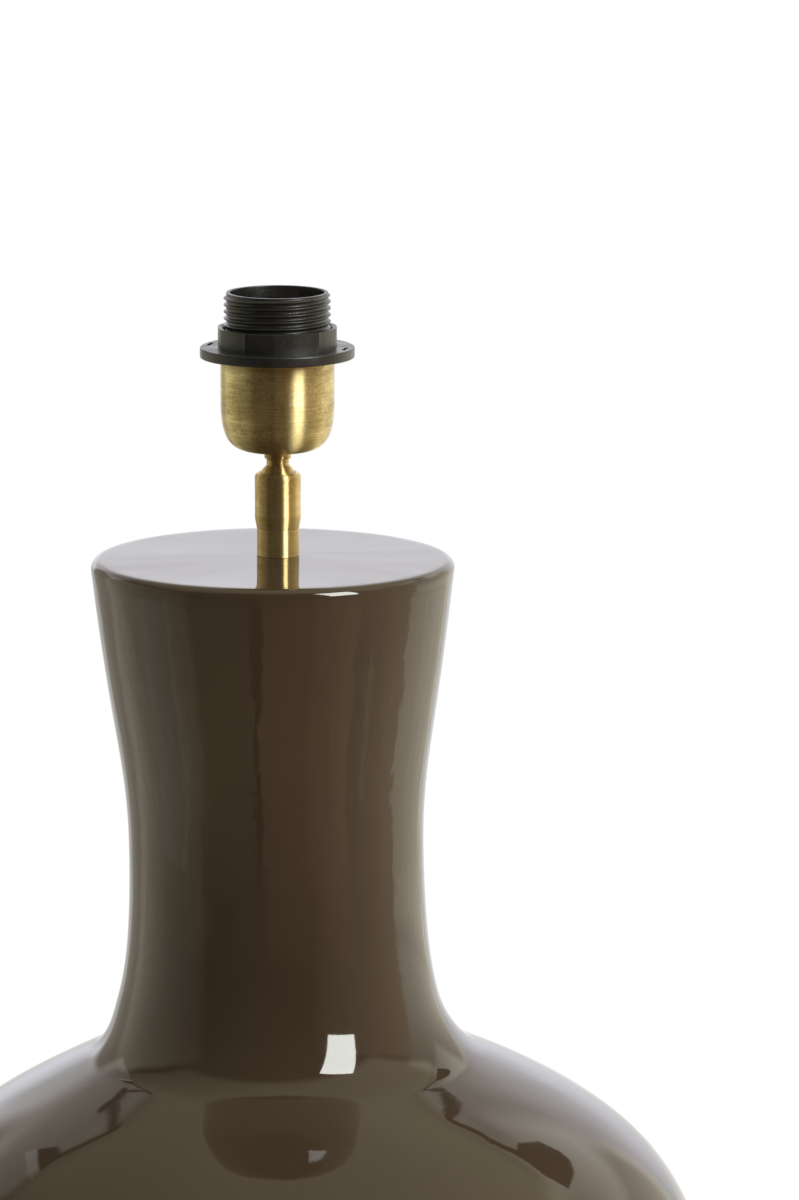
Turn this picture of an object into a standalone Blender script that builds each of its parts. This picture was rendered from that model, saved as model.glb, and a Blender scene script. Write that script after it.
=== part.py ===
"""Table lamp base: a glazed ceramic vase that carries a screw lampholder on a small brass ball joint.

Metres, +Z up. The origin is on the lamp's axis, on the surface that the lamp stands on.
The vase is hollow. A threaded tube runs through it and holds it between the joint above and a
plate, lock washer and nut in the recess of its foot. The ball joint swivels about the lamp's axis
and tilts about a level line through its ball. The holder is a brass cup round an insulating base,
with a threaded barrel on which a shade ring runs.
"""

import math

import bmesh
import bpy
from mathutils import Matrix, Vector

# Fits and cutters
GAP = 0.0003
OVERRUN = 0.002
MERGE = 0.000001

# Smoothness, as counts
VASE_STEPS = 52
HOLDER_STEPS = 40
THREAD_STEPS = 36
JOINT_STEPS = 28
SMALL_STEPS = 20
SMOOTH_ANGLE_DEGREES = 35

# Vase outline: radii from the top disc down, and depths as shares of the height
VASE_HEIGHT = 0.398
TOP_RADIUS = 0.068
RIM_ROUND = 0.0035
WAIST_RADIUS = 0.0556
THROAT_RADIUS = 0.0765
BELLY_RADIUS = 0.1598
FOOT_RADIUS = 0.075
FOOT_BAND = 0.018
WAIST_DEPTH_SHARE = 0.285
THROAT_DEPTH_SHARE = 0.4834
BELLY_DEPTH_SHARE = 0.7284

# Slopes of the outline, and the reach of its curves as shares of each run
NECK_SLOPE = -0.107
THROAT_ANGLE = math.radians(64.6)
FOOT_ANGLE = math.radians(-42)
NECK_START_SHARE = 0.6
NECK_END_SHARE = 0.33
WAIST_START_SHARE = 0.563
THROAT_END_SHARE = 0.223
SHOULDER_START_SHARE = 0.327
SHOULDER_END_SHARE = 0.457
BELLY_START_SHARE = 0.42
BELLY_END_SHARE = 0.30

# Vase walls and foot
VASE_WALL = 0.007
FOOT_WIDTH = 0.009
RECESS_DEPTH = 0.0155
FELT_INSET = 0.002
FELT_THICKNESS = 0.002

# Cord inlet in the foot
GROMMET_RADIUS = 0.0047
GROMMET_BORE_RADIUS = 0.0034
GROMMET_FLANGE_RADIUS = 0.0064
GROMMET_FLANGE = 0.0018

# Threaded tube and what clamps it
TUBE_RADIUS = 0.005
TUBE_BORE_RADIUS = 0.004
TUBE_GRIP = 0.0085
TUBE_PROUD = 0.0012
PLATE_RADIUS = 0.030
PLATE_THICKNESS = 0.002
LOCK_WASHER_RADIUS = 0.0085
LOCK_WASHER_THICKNESS = 0.0016
LOCK_WASHER_SPLIT = 0.0012
NUT_ACROSS_FLATS = 0.017
NUT_HEIGHT = 0.004

# Ball joint
COLLAR_HEIGHT = 0.0099
JOINT_BORE_RADIUS = 0.0034
HOUSING_WALL = 0.00145
HOUSING_STEP = 0.0007
HOUSING_HEIGHT = 0.021
HOUSING_TAPER = 0.0038
HOUSING_ROUND = 0.0017
BALL_RADIUS = 0.0069
BALL_DEPTH = 0.0027
SEAT_FLOOR = 0.0008
SEAT_LIP = 0.0006
SEAT_BORE_RADIUS = 0.0036
SPRING_WASHER_BORE_RADIUS = 0.0037
SPRING_WASHER_THICKNESS = 0.0007
SPRING_WASHER_WAVE = 0.0004
SPRING_WASHER_WAVES = 3
NECK_RADIUS = 0.0042
NECK_HEIGHT = 0.0078
STEM_FLANGE_STEP = 0.0008
STEM_FLANGE = 0.0025
STEM_ROUND = 0.0006
STUD_STEP = 0.0002
STUD_HEIGHT = 0.0105
STEM_BORE_RADIUS = 0.00275

# Lamp socket, whose screw shell sets the radii of everything round it
SHELL_CREST_RADIUS = 0.0143
SHELL_THREAD_DEPTH = 0.0009
SHELL_PITCH = 0.003629
SHELL_WALL = 0.00045
SHELL_HEIGHT = 0.0195
SHELL_PLAY = 0.0004
SLEEVE_WALL = 0.0026
SLEEVE_HEIGHT = 0.0235
SLEEVE_CHAMFER = 0.0012
INSULATOR_HEIGHT = 0.003
SIDE_CONTACT_WIDTH = 0.0013
SIDE_CONTACT_HEIGHT = 0.0018

# Centre contact, lengths as shares of the shell's bore
CONTACT_THICKNESS = 0.0006
CONTACT_RISE = 0.0032
CONTACT_WIDTH_SHARE = 0.37
CONTACT_FOOT_SHARE = 0.22
CONTACT_LENGTH_SHARE = 0.62
CONTACT_TIP_SHARE = 0.22

# Threaded barrel
BARREL_WALL = 0.00135
BARREL_THREAD_DEPTH = 0.00105
BARREL_PITCH = 0.0025
BARREL_THREAD_LENGTH = 0.0247
BARREL_SKIRT_STEP = 0.0002

# Brass cup
CUP_WALL = 0.0008
CUP_HEIGHT = 0.0352
CUP_BEND_HEIGHT = 0.0195
CUP_FLAT_RADIUS = 0.0058
CUP_SIDE_SHARE = 0.846
CUP_FLAT_SHARE = 0.725

# Entry bush and its grub screw
BUSH_RADIUS = 0.0072
BUSH_HEIGHT = 0.0082
BUSH_SPIGOT_RADIUS = 0.006
BUSH_SPIGOT = 0.003
GRUB_RADIUS = 0.0015
GRUB_PROUD = 0.0012

# Insulating base of the holder
BASE_INSET = 0.0016
BASE_HEIGHT = 0.0105
BASE_CHAMFER = 0.0022
BASE_BOSS = 0.005
WIRE_HOLE_RADIUS = 0.002
WIRE_HOLE_PLACE_SHARE = 0.565
TERMINAL_RADIUS = 0.0015
TERMINAL_HEAD_RADIUS = 0.0028
TERMINAL_HEAD = 0.002
TERMINAL_LENGTH = 0.006
TERMINAL_HEIGHT_SHARE = 0.58

# Shade ring
RING_FLANGE_WIDTH = 0.00855
RING_FLANGE = 0.0039
RING_GRIP_WALL = 0.0022
RING_HEIGHT = 0.0114
RING_SIDES = 12
RING_SIDE_ANGLE = math.radians(-34)
RING_SLOT_PLACE_SHARE = 0.67
RING_SLOT_LENGTH = 0.0065
RING_SLOT_WIDTH = 0.0014
RING_SLOT_DEPTH = 0.0012
RING_SLOT_ANGLE = math.radians(-14)

# Thread forms: places along the pitch, and heights from root to crest, both as shares
BARREL_THREAD_SHARES = ((0.0, 0.0), (0.48, 0.0), (0.74, 1.0))
SHELL_THREAD_SHARES = ((0.0, 0.0), (0.36, 1.0), (0.64, 1.0))
THREAD_START_SHARE = 1.617

# How far tools are turned about their own axes, so that their edges miss those of the pieces
TOOL_TURN = math.radians(2.3)

# Colours and finishes: red, green, blue, roughness, metallic
FINISHES = {
    "glaze": (0.055, 0.037, 0.022, 0.08, 0.0),
    "brass": (0.560, 0.420, 0.190, 0.30, 1.0),
    "black_plastic": (0.022, 0.022, 0.021, 0.42, 0.0),
    "steel": (0.520, 0.520, 0.510, 0.35, 1.0),
    "rubber": (0.020, 0.020, 0.020, 0.70, 0.0),
    "felt": (0.035, 0.033, 0.030, 0.95, 0.0),
    "nylon": (0.720, 0.710, 0.670, 0.50, 0.0),
    "porcelain": (0.800, 0.790, 0.760, 0.25, 0.0),
}

# Radii that several pieces share
RECESS_RADIUS = FOOT_RADIUS - FOOT_WIDTH
SOCKET_RADIUS = BALL_RADIUS + GAP
HOUSING_RADIUS = SOCKET_RADIUS + HOUSING_WALL
COLLAR_RADIUS = HOUSING_RADIUS - HOUSING_STEP
STUD_RADIUS = NECK_RADIUS - STUD_STEP
SHELL_BORE_RADIUS = SHELL_CREST_RADIUS - SHELL_THREAD_DEPTH - SHELL_WALL
SLEEVE_BORE_RADIUS = SHELL_CREST_RADIUS + SHELL_PLAY
SLEEVE_RADIUS = SLEEVE_BORE_RADIUS + SLEEVE_WALL
BARREL_BORE_RADIUS = SLEEVE_RADIUS + GAP
BARREL_ROOT_RADIUS = BARREL_BORE_RADIUS + BARREL_WALL
BARREL_CREST_RADIUS = BARREL_ROOT_RADIUS + BARREL_THREAD_DEPTH
SKIRT_RADIUS = BARREL_CREST_RADIUS + BARREL_SKIRT_STEP
CUP_RADIUS = SKIRT_RADIUS + GAP + CUP_WALL
BASE_RADIUS = SKIRT_RADIUS - BASE_INSET
RING_BORE_RADIUS = BARREL_CREST_RADIUS + GAP

# Heights that several pieces share
FOOT_Z = FELT_THICKNESS + GAP
INLET_Z = FOOT_Z + RECESS_DEPTH / 2
DISC_Z = FOOT_Z + VASE_HEIGHT
COLLAR_Z = DISC_Z + GAP
HOUSING_Z = COLLAR_Z + COLLAR_HEIGHT + GAP
BALL_Z = HOUSING_Z + HOUSING_HEIGHT - BALL_DEPTH
SEAT_Z = BALL_Z - SOCKET_RADIUS - SEAT_FLOOR
SPRING_WASHER_Z = SEAT_Z - GAP - SPRING_WASHER_THICKNESS - 2 * SPRING_WASHER_WAVE
CUP_Z = BALL_Z + NECK_HEIGHT + STEM_FLANGE + GAP
RING_Z = CUP_Z + CUP_HEIGHT + GAP
BUSH_Z = CUP_Z + CUP_WALL + GAP
BASE_Z = BUSH_Z + BUSH_HEIGHT + GAP
BARREL_Z = BASE_Z + BASE_HEIGHT + GAP
SLEEVE_Z = BARREL_Z + BASE_BOSS + GAP
SHELL_Z = SLEEVE_Z + INSULATOR_HEIGHT + GAP


def clear_scene():
    """Removes every object, so the script can run in an open file."""
    for item in list(bpy.data.objects):
        bpy.data.objects.remove(item, do_unlink=True)


def finish(name):
    """The Principled material of one finish, made once."""
    made = bpy.data.materials.get(name)
    if made:
        return made
    red, green, blue, roughness, metallic = FINISHES[name]
    made = bpy.data.materials.new(name)
    made.use_nodes = True
    shader = made.node_tree.nodes["Principled BSDF"]
    shader.inputs["Base Color"].default_value = (red, green, blue, 1)
    shader.inputs["Roughness"].default_value = roughness
    shader.inputs["Metallic"].default_value = metallic
    return made


def add_object(name, bm, material=None):
    """Turns a bmesh into a named object with its faces pointing out."""
    bmesh.ops.recalc_face_normals(bm, faces=bm.faces)
    mesh = bpy.data.meshes.new(name)
    bm.to_mesh(mesh)
    bm.free()
    item = bpy.data.objects.new(name, mesh)
    bpy.context.collection.objects.link(item)
    if material:
        mesh.materials.append(finish(material))
        mesh.shade_smooth()
        mesh.set_sharp_from_angle(angle=math.radians(SMOOTH_ANGLE_DEGREES))
    return item


def place(item, parent, world):
    """Puts an object at a place in the lamp's frame, under a parent that isn't turned."""
    item.parent = parent
    base = parent_place(parent)
    item.location = Vector(world) - base


def parent_place(parent):
    """Where a parent's origin is in the lamp's frame."""
    spot = Vector((0, 0, 0))
    while parent:
        spot += parent.location
        parent = parent.parent
    return spot


def add_axis(name, parent, world):
    """An empty on a joint's axis."""
    item = bpy.data.objects.new(name, None)
    bpy.context.collection.objects.link(item)
    place(item, parent, world)
    return item


def bezier(start, start_handle, end_handle, end, count):
    """Points of a cubic curve, without its first point."""
    points = []
    for step in range(1, count + 1):
        t = step / count
        weights = ((1 - t) ** 3, 3 * (1 - t) ** 2 * t, 3 * (1 - t) * t**2, t**3)
        corners = (start, start_handle, end_handle, end)
        points.append(tuple(sum(w * c[axis] for w, c in zip(weights, corners)) for axis in (0, 1)))
    return points


def arc(centre, radius, start_degrees, end_degrees, count):
    """Points of an arc in the radius and height plane, both ends included."""
    points = []
    for step in range(count + 1):
        angle = math.radians(start_degrees + (end_degrees - start_degrees) * step / count)
        points.append((centre[0] + radius * math.cos(angle), centre[1] + radius * math.sin(angle)))
    return points


def turned_mesh(outline, steps):
    """A bmesh turned about Z from an outline of radius and height points.

    An outline that starts and ends on the axis makes a solid, and any other one closes into a ring.
    """
    bm = bmesh.new()
    verts = [bm.verts.new((radius, 0, height)) for radius, height in outline]
    edges = [bm.edges.new(pair) for pair in zip(verts, verts[1:])]
    if outline[0][0] > 0:
        edges.append(bm.edges.new((verts[-1], verts[0])))
    bmesh.ops.spin(
        bm, geom=verts + edges, cent=(0, 0, 0), axis=(0, 0, 1), steps=steps,
        angle=math.tau, use_merge=True,
    )
    bmesh.ops.remove_doubles(bm, verts=bm.verts, dist=MERGE)
    return bm


def turned(name, outline, steps, material=None):
    """A turned object."""
    return add_object(name, turned_mesh(outline, steps), material)


def turned_tool(name, outline, steps):
    """A turned tool for a Boolean."""
    item = turned(name, outline, steps)
    turn_mesh(item, Matrix.Rotation(TOOL_TURN, 4, "Z"))
    return item


def tube_outline(inner, outer, low, high):
    """The outline of a plain ring."""
    return [(inner, low), (outer, low), (outer, high), (inner, high)]


def rod_outline(radius, low, high):
    """The outline of a plain rod."""
    return [(0, low), (radius, low), (radius, high), (0, high)]


def block(name, size, centre):
    """A box from its size and centre."""
    bm = bmesh.new()
    bmesh.ops.create_cube(bm, size=1)
    bmesh.ops.scale(bm, vec=size, verts=bm.verts)
    bmesh.ops.translate(bm, vec=centre, verts=bm.verts)
    return add_object(name, bm)


def turn_mesh(item, rotation):
    """Turns an object's mesh, not the object."""
    item.data.transform(rotation)


def boolean(item, tool, operation):
    """Cuts, joins or intersects an object with a hidden tool."""
    tool.hide_render = True
    tool.display_type = "WIRE"
    tool.parent = item
    step = item.modifiers.new(tool.name, "BOOLEAN")
    step.operation = operation
    step.solver = "EXACT"
    step.object = tool


def helix(name, root, depth, pitch, thread_shares, low, high, steps):
    """A closed rod with a helical thread that runs past both ends by a pitch or more."""
    start = low - THREAD_START_SHARE * pitch
    turns = math.ceil((high - start) / pitch) + 2
    bm = bmesh.new()
    rows = []
    for turn in range(turns):
        for place_share, height_share in thread_shares:
            radius = root + height_share * depth
            row = []
            for step in range(steps):
                angle = math.tau * step / steps
                height = start + pitch * (turn + place_share + step / steps)
                row.append(bm.verts.new((radius * math.cos(angle), radius * math.sin(angle), height)))
            rows.append(row)
    per_turn = len(thread_shares)
    for lower, upper in zip(rows, rows[1:]):
        for step in range(steps - 1):
            bm.faces.new((lower[step], lower[step + 1], upper[step + 1], upper[step]))
    for index in range(len(rows) - per_turn - 1):
        near, after = rows[index], rows[index + 1]
        far, far_after = rows[index + per_turn], rows[index + per_turn + 1]
        bm.faces.new((near[-1], far[0], far_after[0], after[-1]))
    close_ends(bm, start, start + pitch * turns)
    return add_object(name, bm)


def close_ends(bm, low, high):
    """Closes a threaded sheet's two open ends with fans to the axis."""
    rims = [edge for edge in bm.edges if edge.is_boundary]
    middle = (low + high) / 2
    ends = (
        (bm.verts.new((0, 0, low)), [e for e in rims if e.verts[0].co.z < middle]),
        (bm.verts.new((0, 0, high)), [e for e in rims if e.verts[0].co.z >= middle]),
    )
    for point, edges in ends:
        for edge in edges:
            bm.faces.new((edge.verts[0], edge.verts[1], point))


def vase_outer():
    """The outside of the vase from the top disc down to the foot, in its own heights."""
    top = VASE_HEIGHT
    rim = arc((TOP_RADIUS - RIM_ROUND, top - RIM_ROUND), RIM_ROUND, 90, 0, 4)
    start = rim[-1]
    waist = (WAIST_RADIUS, top - WAIST_DEPTH_SHARE * top)
    throat = (THROAT_RADIUS, top - THROAT_DEPTH_SHARE * top)
    belly = (BELLY_RADIUS, top - BELLY_DEPTH_SHARE * top)
    band = (FOOT_RADIUS, FOOT_BAND)
    neck_run = start[1] - waist[1]
    throat_run = waist[1] - throat[1]
    shoulder_run = math.dist(throat, belly)
    under_run = math.dist(belly, band)
    throat_way = (math.sin(THROAT_ANGLE), -math.cos(THROAT_ANGLE))
    foot_way = (math.sin(FOOT_ANGLE), -math.cos(FOOT_ANGLE))
    points = rim
    points += bezier(
        start,
        (start[0] + NECK_SLOPE * NECK_START_SHARE * neck_run, start[1] - NECK_START_SHARE * neck_run),
        (waist[0], waist[1] + NECK_END_SHARE * neck_run),
        waist, 5,
    )
    points += bezier(
        waist,
        (waist[0], waist[1] - WAIST_START_SHARE * throat_run),
        along(throat, throat_way, -THROAT_END_SHARE * throat_run),
        throat, 7,
    )
    points += bezier(
        throat,
        along(throat, throat_way, SHOULDER_START_SHARE * shoulder_run),
        (belly[0], belly[1] + SHOULDER_END_SHARE * shoulder_run),
        belly, 8,
    )
    points += bezier(
        belly,
        (belly[0], belly[1] - BELLY_START_SHARE * under_run),
        along(band, foot_way, -BELLY_END_SHARE * under_run),
        band, 7,
    )
    return points


def along(point, way, distance):
    """A point moved along a direction in the radius and height plane."""
    return (point[0] + way[0] * distance, point[1] + way[1] * distance)


def inset_outline(points, wall):
    """Points moved inwards by a wall, square to the line through their neighbours."""
    moved = []
    for before, here, after in zip(points, points[1:], points[2:]):
        run = (after[0] - before[0], after[1] - before[1])
        length = math.hypot(*run)
        moved.append((here[0] + wall * run[1] / length, here[1] - wall * run[0] / length))
    return moved


def make_vase():
    """The hollow ceramic body, with a hole for the tube and a hole for the cord inlet."""
    outer = vase_outer()
    hole = TUBE_RADIUS + GAP
    ceiling = VASE_HEIGHT - VASE_WALL
    floor = RECESS_DEPTH + VASE_WALL
    inner = inset_outline(outer[4:], VASE_WALL)[::2]
    inner = [point for point in inner if floor + VASE_WALL < point[1] < ceiling - VASE_WALL]
    inside = [(hole, floor), (FOOT_RADIUS - VASE_WALL, floor)]
    inside += inner[::-1]
    inside += [(inner[0][0] - VASE_WALL / 2, ceiling), (hole, ceiling)]
    foot = [(FOOT_RADIUS, 0), (RECESS_RADIUS, 0), (RECESS_RADIUS, RECESS_DEPTH), (hole, RECESS_DEPTH)]
    outline = [(hole, VASE_HEIGHT)] + outer + foot + inside
    vase = turned("vase_body", outline, VASE_STEPS, "glaze")
    place(vase, None, (0, 0, FOOT_Z))
    cutter = turned_tool(
        "inlet_cutter",
        rod_outline(GROMMET_RADIUS + GAP, RECESS_RADIUS - FOOT_WIDTH, FOOT_RADIUS + OVERRUN),
        SMALL_STEPS,
    )
    turn_mesh(cutter, Matrix.Rotation(math.radians(-90), 4, "X"))
    cutter.location = (0, 0, INLET_Z - FOOT_Z)
    boolean(vase, cutter, "DIFFERENCE")


def make_grommet():
    """The bushing of the cord inlet at the back of the foot."""
    seat = FOOT_WIDTH + GAP
    outline = [
        (GROMMET_BORE_RADIUS, 0),
        (GROMMET_RADIUS, 0),
        (GROMMET_RADIUS, seat),
        (GROMMET_FLANGE_RADIUS, seat),
        (GROMMET_FLANGE_RADIUS, seat + GROMMET_FLANGE),
        (GROMMET_BORE_RADIUS, seat + GROMMET_FLANGE),
    ]
    grommet = turned("cord_grommet", outline, SMALL_STEPS, "rubber")
    turn_mesh(grommet, Matrix.Rotation(math.radians(-90), 4, "X"))
    place(grommet, None, (0, RECESS_RADIUS, INLET_Z))


def make_felt():
    """The felt disc under the foot."""
    radius = FOOT_RADIUS - FELT_INSET
    felt = turned("felt_pad", rod_outline(radius, 0, FELT_THICKNESS), VASE_STEPS, "felt")
    place(felt, None, (0, 0, 0))


def make_tube_set():
    """The threaded tube, and the plate, lock washer and nut that pull it down in the foot."""
    hole = TUBE_RADIUS + GAP
    plate_z = FOOT_Z + RECESS_DEPTH - GAP - PLATE_THICKNESS
    washer_z = plate_z - GAP - LOCK_WASHER_THICKNESS
    nut_z = washer_z - GAP - NUT_HEIGHT
    tube_z = nut_z - TUBE_PROUD
    tube_length = DISC_Z + TUBE_GRIP - tube_z
    tube = turned(
        "threaded_tube", tube_outline(TUBE_BORE_RADIUS, TUBE_RADIUS, 0, tube_length), SMALL_STEPS, "steel"
    )
    place(tube, None, (0, 0, tube_z))
    plate = turned(
        "bottom_plate", tube_outline(hole, PLATE_RADIUS, 0, PLATE_THICKNESS), JOINT_STEPS, "steel"
    )
    place(plate, None, (0, 0, plate_z))
    washer = turned(
        "lock_washer", tube_outline(hole, LOCK_WASHER_RADIUS, 0, LOCK_WASHER_THICKNESS),
        SMALL_STEPS, "steel",
    )
    place(washer, None, (0, 0, washer_z))
    split = block(
        "split_cutter",
        (LOCK_WASHER_RADIUS + OVERRUN, LOCK_WASHER_SPLIT, LOCK_WASHER_THICKNESS + OVERRUN),
        ((LOCK_WASHER_RADIUS + OVERRUN) / 2, 0, LOCK_WASHER_THICKNESS / 2),
    )
    boolean(washer, split, "DIFFERENCE")
    corner = NUT_ACROSS_FLATS / 2 / math.cos(math.pi / 6)
    nut = turned("hex_nut", rod_outline(corner, 0, NUT_HEIGHT), 6, "steel")
    bore = turned_tool("nut_cutter", rod_outline(hole, -OVERRUN, NUT_HEIGHT + OVERRUN), SMALL_STEPS)
    boolean(nut, bore, "DIFFERENCE")
    place(nut, None, (0, 0, nut_z))


def make_joint_base():
    """The brass collar that stands on the vase, with a spigot that carries the housing."""
    pocket = TUBE_GRIP + GAP
    spigot_top = SPRING_WASHER_Z - GAP - COLLAR_Z
    outline = [
        (TUBE_RADIUS + GAP, 0),
        (COLLAR_RADIUS, 0),
        (COLLAR_RADIUS, COLLAR_HEIGHT),
        (SOCKET_RADIUS - GAP, COLLAR_HEIGHT),
        (SOCKET_RADIUS - GAP, spigot_top),
        (JOINT_BORE_RADIUS, spigot_top),
        (JOINT_BORE_RADIUS, pocket),
        (TUBE_RADIUS + GAP, pocket),
    ]
    base = turned("joint_base", outline, JOINT_STEPS, "brass")
    place(base, None, (0, 0, COLLAR_Z))


def make_housing():
    """The brass barrel round the ball, with its lip closed over the ball."""
    lip = math.sqrt(SOCKET_RADIUS**2 - BALL_DEPTH**2)
    ball_height = HOUSING_HEIGHT - BALL_DEPTH
    lip_angle = math.degrees(math.asin(BALL_DEPTH / SOCKET_RADIUS))
    outline = [
        (SOCKET_RADIUS, 0),
        (COLLAR_RADIUS, 0),
        (HOUSING_RADIUS, HOUSING_TAPER),
    ]
    corner = (HOUSING_RADIUS - HOUSING_ROUND, HOUSING_HEIGHT - HOUSING_ROUND)
    outline += arc(corner, HOUSING_ROUND, 0, 90, 5)
    outline += [(lip, HOUSING_HEIGHT)]
    outline += arc((0, ball_height), SOCKET_RADIUS, lip_angle, 0, 4)[1:]
    housing = turned("joint_housing", outline, JOINT_STEPS, "brass")
    place(housing, None, (0, 0, HOUSING_Z))


def make_spring_washer():
    """The waved washer that presses the seat up against the ball."""
    outer = SOCKET_RADIUS - GAP
    height = SPRING_WASHER_THICKNESS
    bm = turned_mesh(tube_outline(SPRING_WASHER_BORE_RADIUS, outer, 0, height), JOINT_STEPS)
    for vert in bm.verts:
        angle = math.atan2(vert.co.y, vert.co.x)
        vert.co.z += SPRING_WASHER_WAVE * (1 + math.cos(SPRING_WASHER_WAVES * angle))
    washer = add_object("spring_washer", bm, "steel")
    place(washer, None, (0, 0, SPRING_WASHER_Z))


def make_friction_seat(swivel):
    """The seat under the ball, which turns with the ball about the lamp's axis."""
    outer = SOCKET_RADIUS - GAP
    bottom = SEAT_Z - BALL_Z
    rim = math.degrees(math.acos((outer - SEAT_LIP) / SOCKET_RADIUS))
    bore = math.degrees(math.acos(SEAT_BORE_RADIUS / SOCKET_RADIUS))
    cup = arc((0, 0), SOCKET_RADIUS, -rim, -bore, 5)
    outline = [(outer, bottom), (outer, cup[0][1])] + cup + [(SEAT_BORE_RADIUS, bottom)]
    seat = turned("friction_seat", outline, JOINT_STEPS, "nylon")
    place(seat, swivel, (0, 0, BALL_Z))


def make_ball_stem(tilt):
    """The ball with its neck, flange and the stud that goes up into the holder."""
    bore = STEM_BORE_RADIUS
    low = math.degrees(math.acos(bore / BALL_RADIUS))
    high = math.degrees(math.acos(NECK_RADIUS / BALL_RADIUS))
    flange = NECK_RADIUS + STEM_FLANGE_STEP
    flange_top = NECK_HEIGHT + STEM_FLANGE
    outline = arc((0, 0), BALL_RADIUS, -low, high, 12)
    outline += [
        (NECK_RADIUS, NECK_HEIGHT),
        (flange - STEM_ROUND, NECK_HEIGHT),
        (flange, NECK_HEIGHT + STEM_ROUND),
        (flange, flange_top),
        (STUD_RADIUS, flange_top),
        (STUD_RADIUS, flange_top + STUD_HEIGHT),
        (bore, flange_top + STUD_HEIGHT),
    ]
    stem = turned("ball_stem", outline, JOINT_STEPS, "brass")
    place(stem, tilt, (0, 0, BALL_Z))


def make_cup(tilt):
    """The spun brass cup of the holder."""
    hole = STUD_RADIUS + GAP
    side = (CUP_RADIUS, CUP_BEND_HEIGHT)
    flat = (CUP_FLAT_RADIUS, 0)
    side_handle = (CUP_RADIUS, CUP_BEND_HEIGHT * (1 - CUP_SIDE_SHARE))
    flat_handle = (CUP_FLAT_RADIUS + CUP_FLAT_SHARE * (CUP_RADIUS - CUP_FLAT_RADIUS), 0)
    bend = bezier(side, side_handle, flat_handle, flat, 7)
    outer = [(CUP_RADIUS, CUP_HEIGHT), side] + bend + [(hole, 0)]
    inner = inset_outline(outer, CUP_WALL)
    outline = outer + [(hole, CUP_WALL)] + inner[::-1] + [(CUP_RADIUS - CUP_WALL, CUP_HEIGHT)]
    cup = turned("brass_cup", outline, HOLDER_STEPS, "brass")
    place(cup, tilt, (0, 0, CUP_Z))


def make_bush(tilt):
    """The threaded bush that joins the stud to the holder's base, and its grub screw."""
    bore = STUD_RADIUS + GAP
    top = BUSH_HEIGHT + BUSH_SPIGOT
    outline = [
        (bore, 0),
        (BUSH_RADIUS, 0),
        (BUSH_RADIUS, BUSH_HEIGHT),
        (BUSH_SPIGOT_RADIUS, BUSH_HEIGHT),
        (BUSH_SPIGOT_RADIUS, top),
        (bore, top),
    ]
    bush = turned("entry_bush", outline, JOINT_STEPS, "steel")
    place(bush, tilt, (0, 0, BUSH_Z))
    sideways = Matrix.Rotation(math.radians(90), 4, "Y")
    hole = rod_outline(GRUB_RADIUS + GAP, 0, BUSH_RADIUS + OVERRUN)
    cutter = turned_tool("grub_cutter", hole, SMALL_STEPS)
    turn_mesh(cutter, sideways)
    cutter.location = (0, 0, BUSH_HEIGHT / 2)
    boolean(bush, cutter, "DIFFERENCE")
    grub = turned(
        "grub_screw", rod_outline(GRUB_RADIUS, bore, BUSH_RADIUS + GRUB_PROUD), SMALL_STEPS, "steel"
    )
    turn_mesh(grub, sideways)
    place(grub, tilt, (0, 0, BUSH_Z + BUSH_HEIGHT / 2))


def make_holder_base(tilt):
    """The insulating base inside the cup, with its two terminal screws."""
    bore = BUSH_SPIGOT_RADIUS + GAP
    pocket = BUSH_SPIGOT + GAP
    top = BASE_HEIGHT + BASE_BOSS
    outline = [
        (bore, 0),
        (BASE_RADIUS - BASE_CHAMFER, 0),
        (BASE_RADIUS, BASE_CHAMFER),
        (BASE_RADIUS, BASE_HEIGHT),
        (SLEEVE_RADIUS, BASE_HEIGHT),
        (SLEEVE_RADIUS, top),
        (WIRE_HOLE_RADIUS, top),
        (WIRE_HOLE_RADIUS, pocket),
        (bore, pocket),
    ]
    base = turned("holder_base", outline, HOLDER_STEPS, "black_plastic")
    place(base, tilt, (0, 0, BASE_Z))
    screw_z = TERMINAL_HEIGHT_SHARE * BASE_HEIGHT
    start = BASE_RADIUS - TERMINAL_LENGTH
    head = BASE_RADIUS - TERMINAL_HEAD
    for number, side in enumerate((1, -1)):
        wire_outline = rod_outline(WIRE_HOLE_RADIUS, -OVERRUN, top + OVERRUN)
        wire = turned_tool("wire_cutter", wire_outline, SMALL_STEPS)
        wire.location = (0, side * WIRE_HOLE_PLACE_SHARE * BASE_RADIUS, 0)
        boolean(base, wire, "DIFFERENCE")
        sideways = Matrix.Rotation(math.radians(side * 90), 4, "Y")
        hole_outline = screw_outline(start - GAP, head - GAP, BASE_RADIUS + OVERRUN, GAP)
        hole = turned_tool("terminal_cutter", hole_outline, SMALL_STEPS)
        turn_mesh(hole, sideways)
        hole.location = (0, 0, screw_z)
        boolean(base, hole, "DIFFERENCE")
        name = f"terminal_screw_{number + 1}"
        screw = turned(name, screw_outline(start, head, BASE_RADIUS, 0), SMALL_STEPS, "steel")
        turn_mesh(screw, sideways)
        place(screw, tilt, (0, 0, BASE_Z + screw_z))


def screw_outline(start, head, end, margin):
    """A cheese head screw's outline, grown by a margin where it is the screw's hole."""
    shank = TERMINAL_RADIUS + margin
    wide = TERMINAL_HEAD_RADIUS + margin
    return [(0, start), (shank, start), (shank, head), (wide, head), (wide, end), (0, end)]


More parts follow.
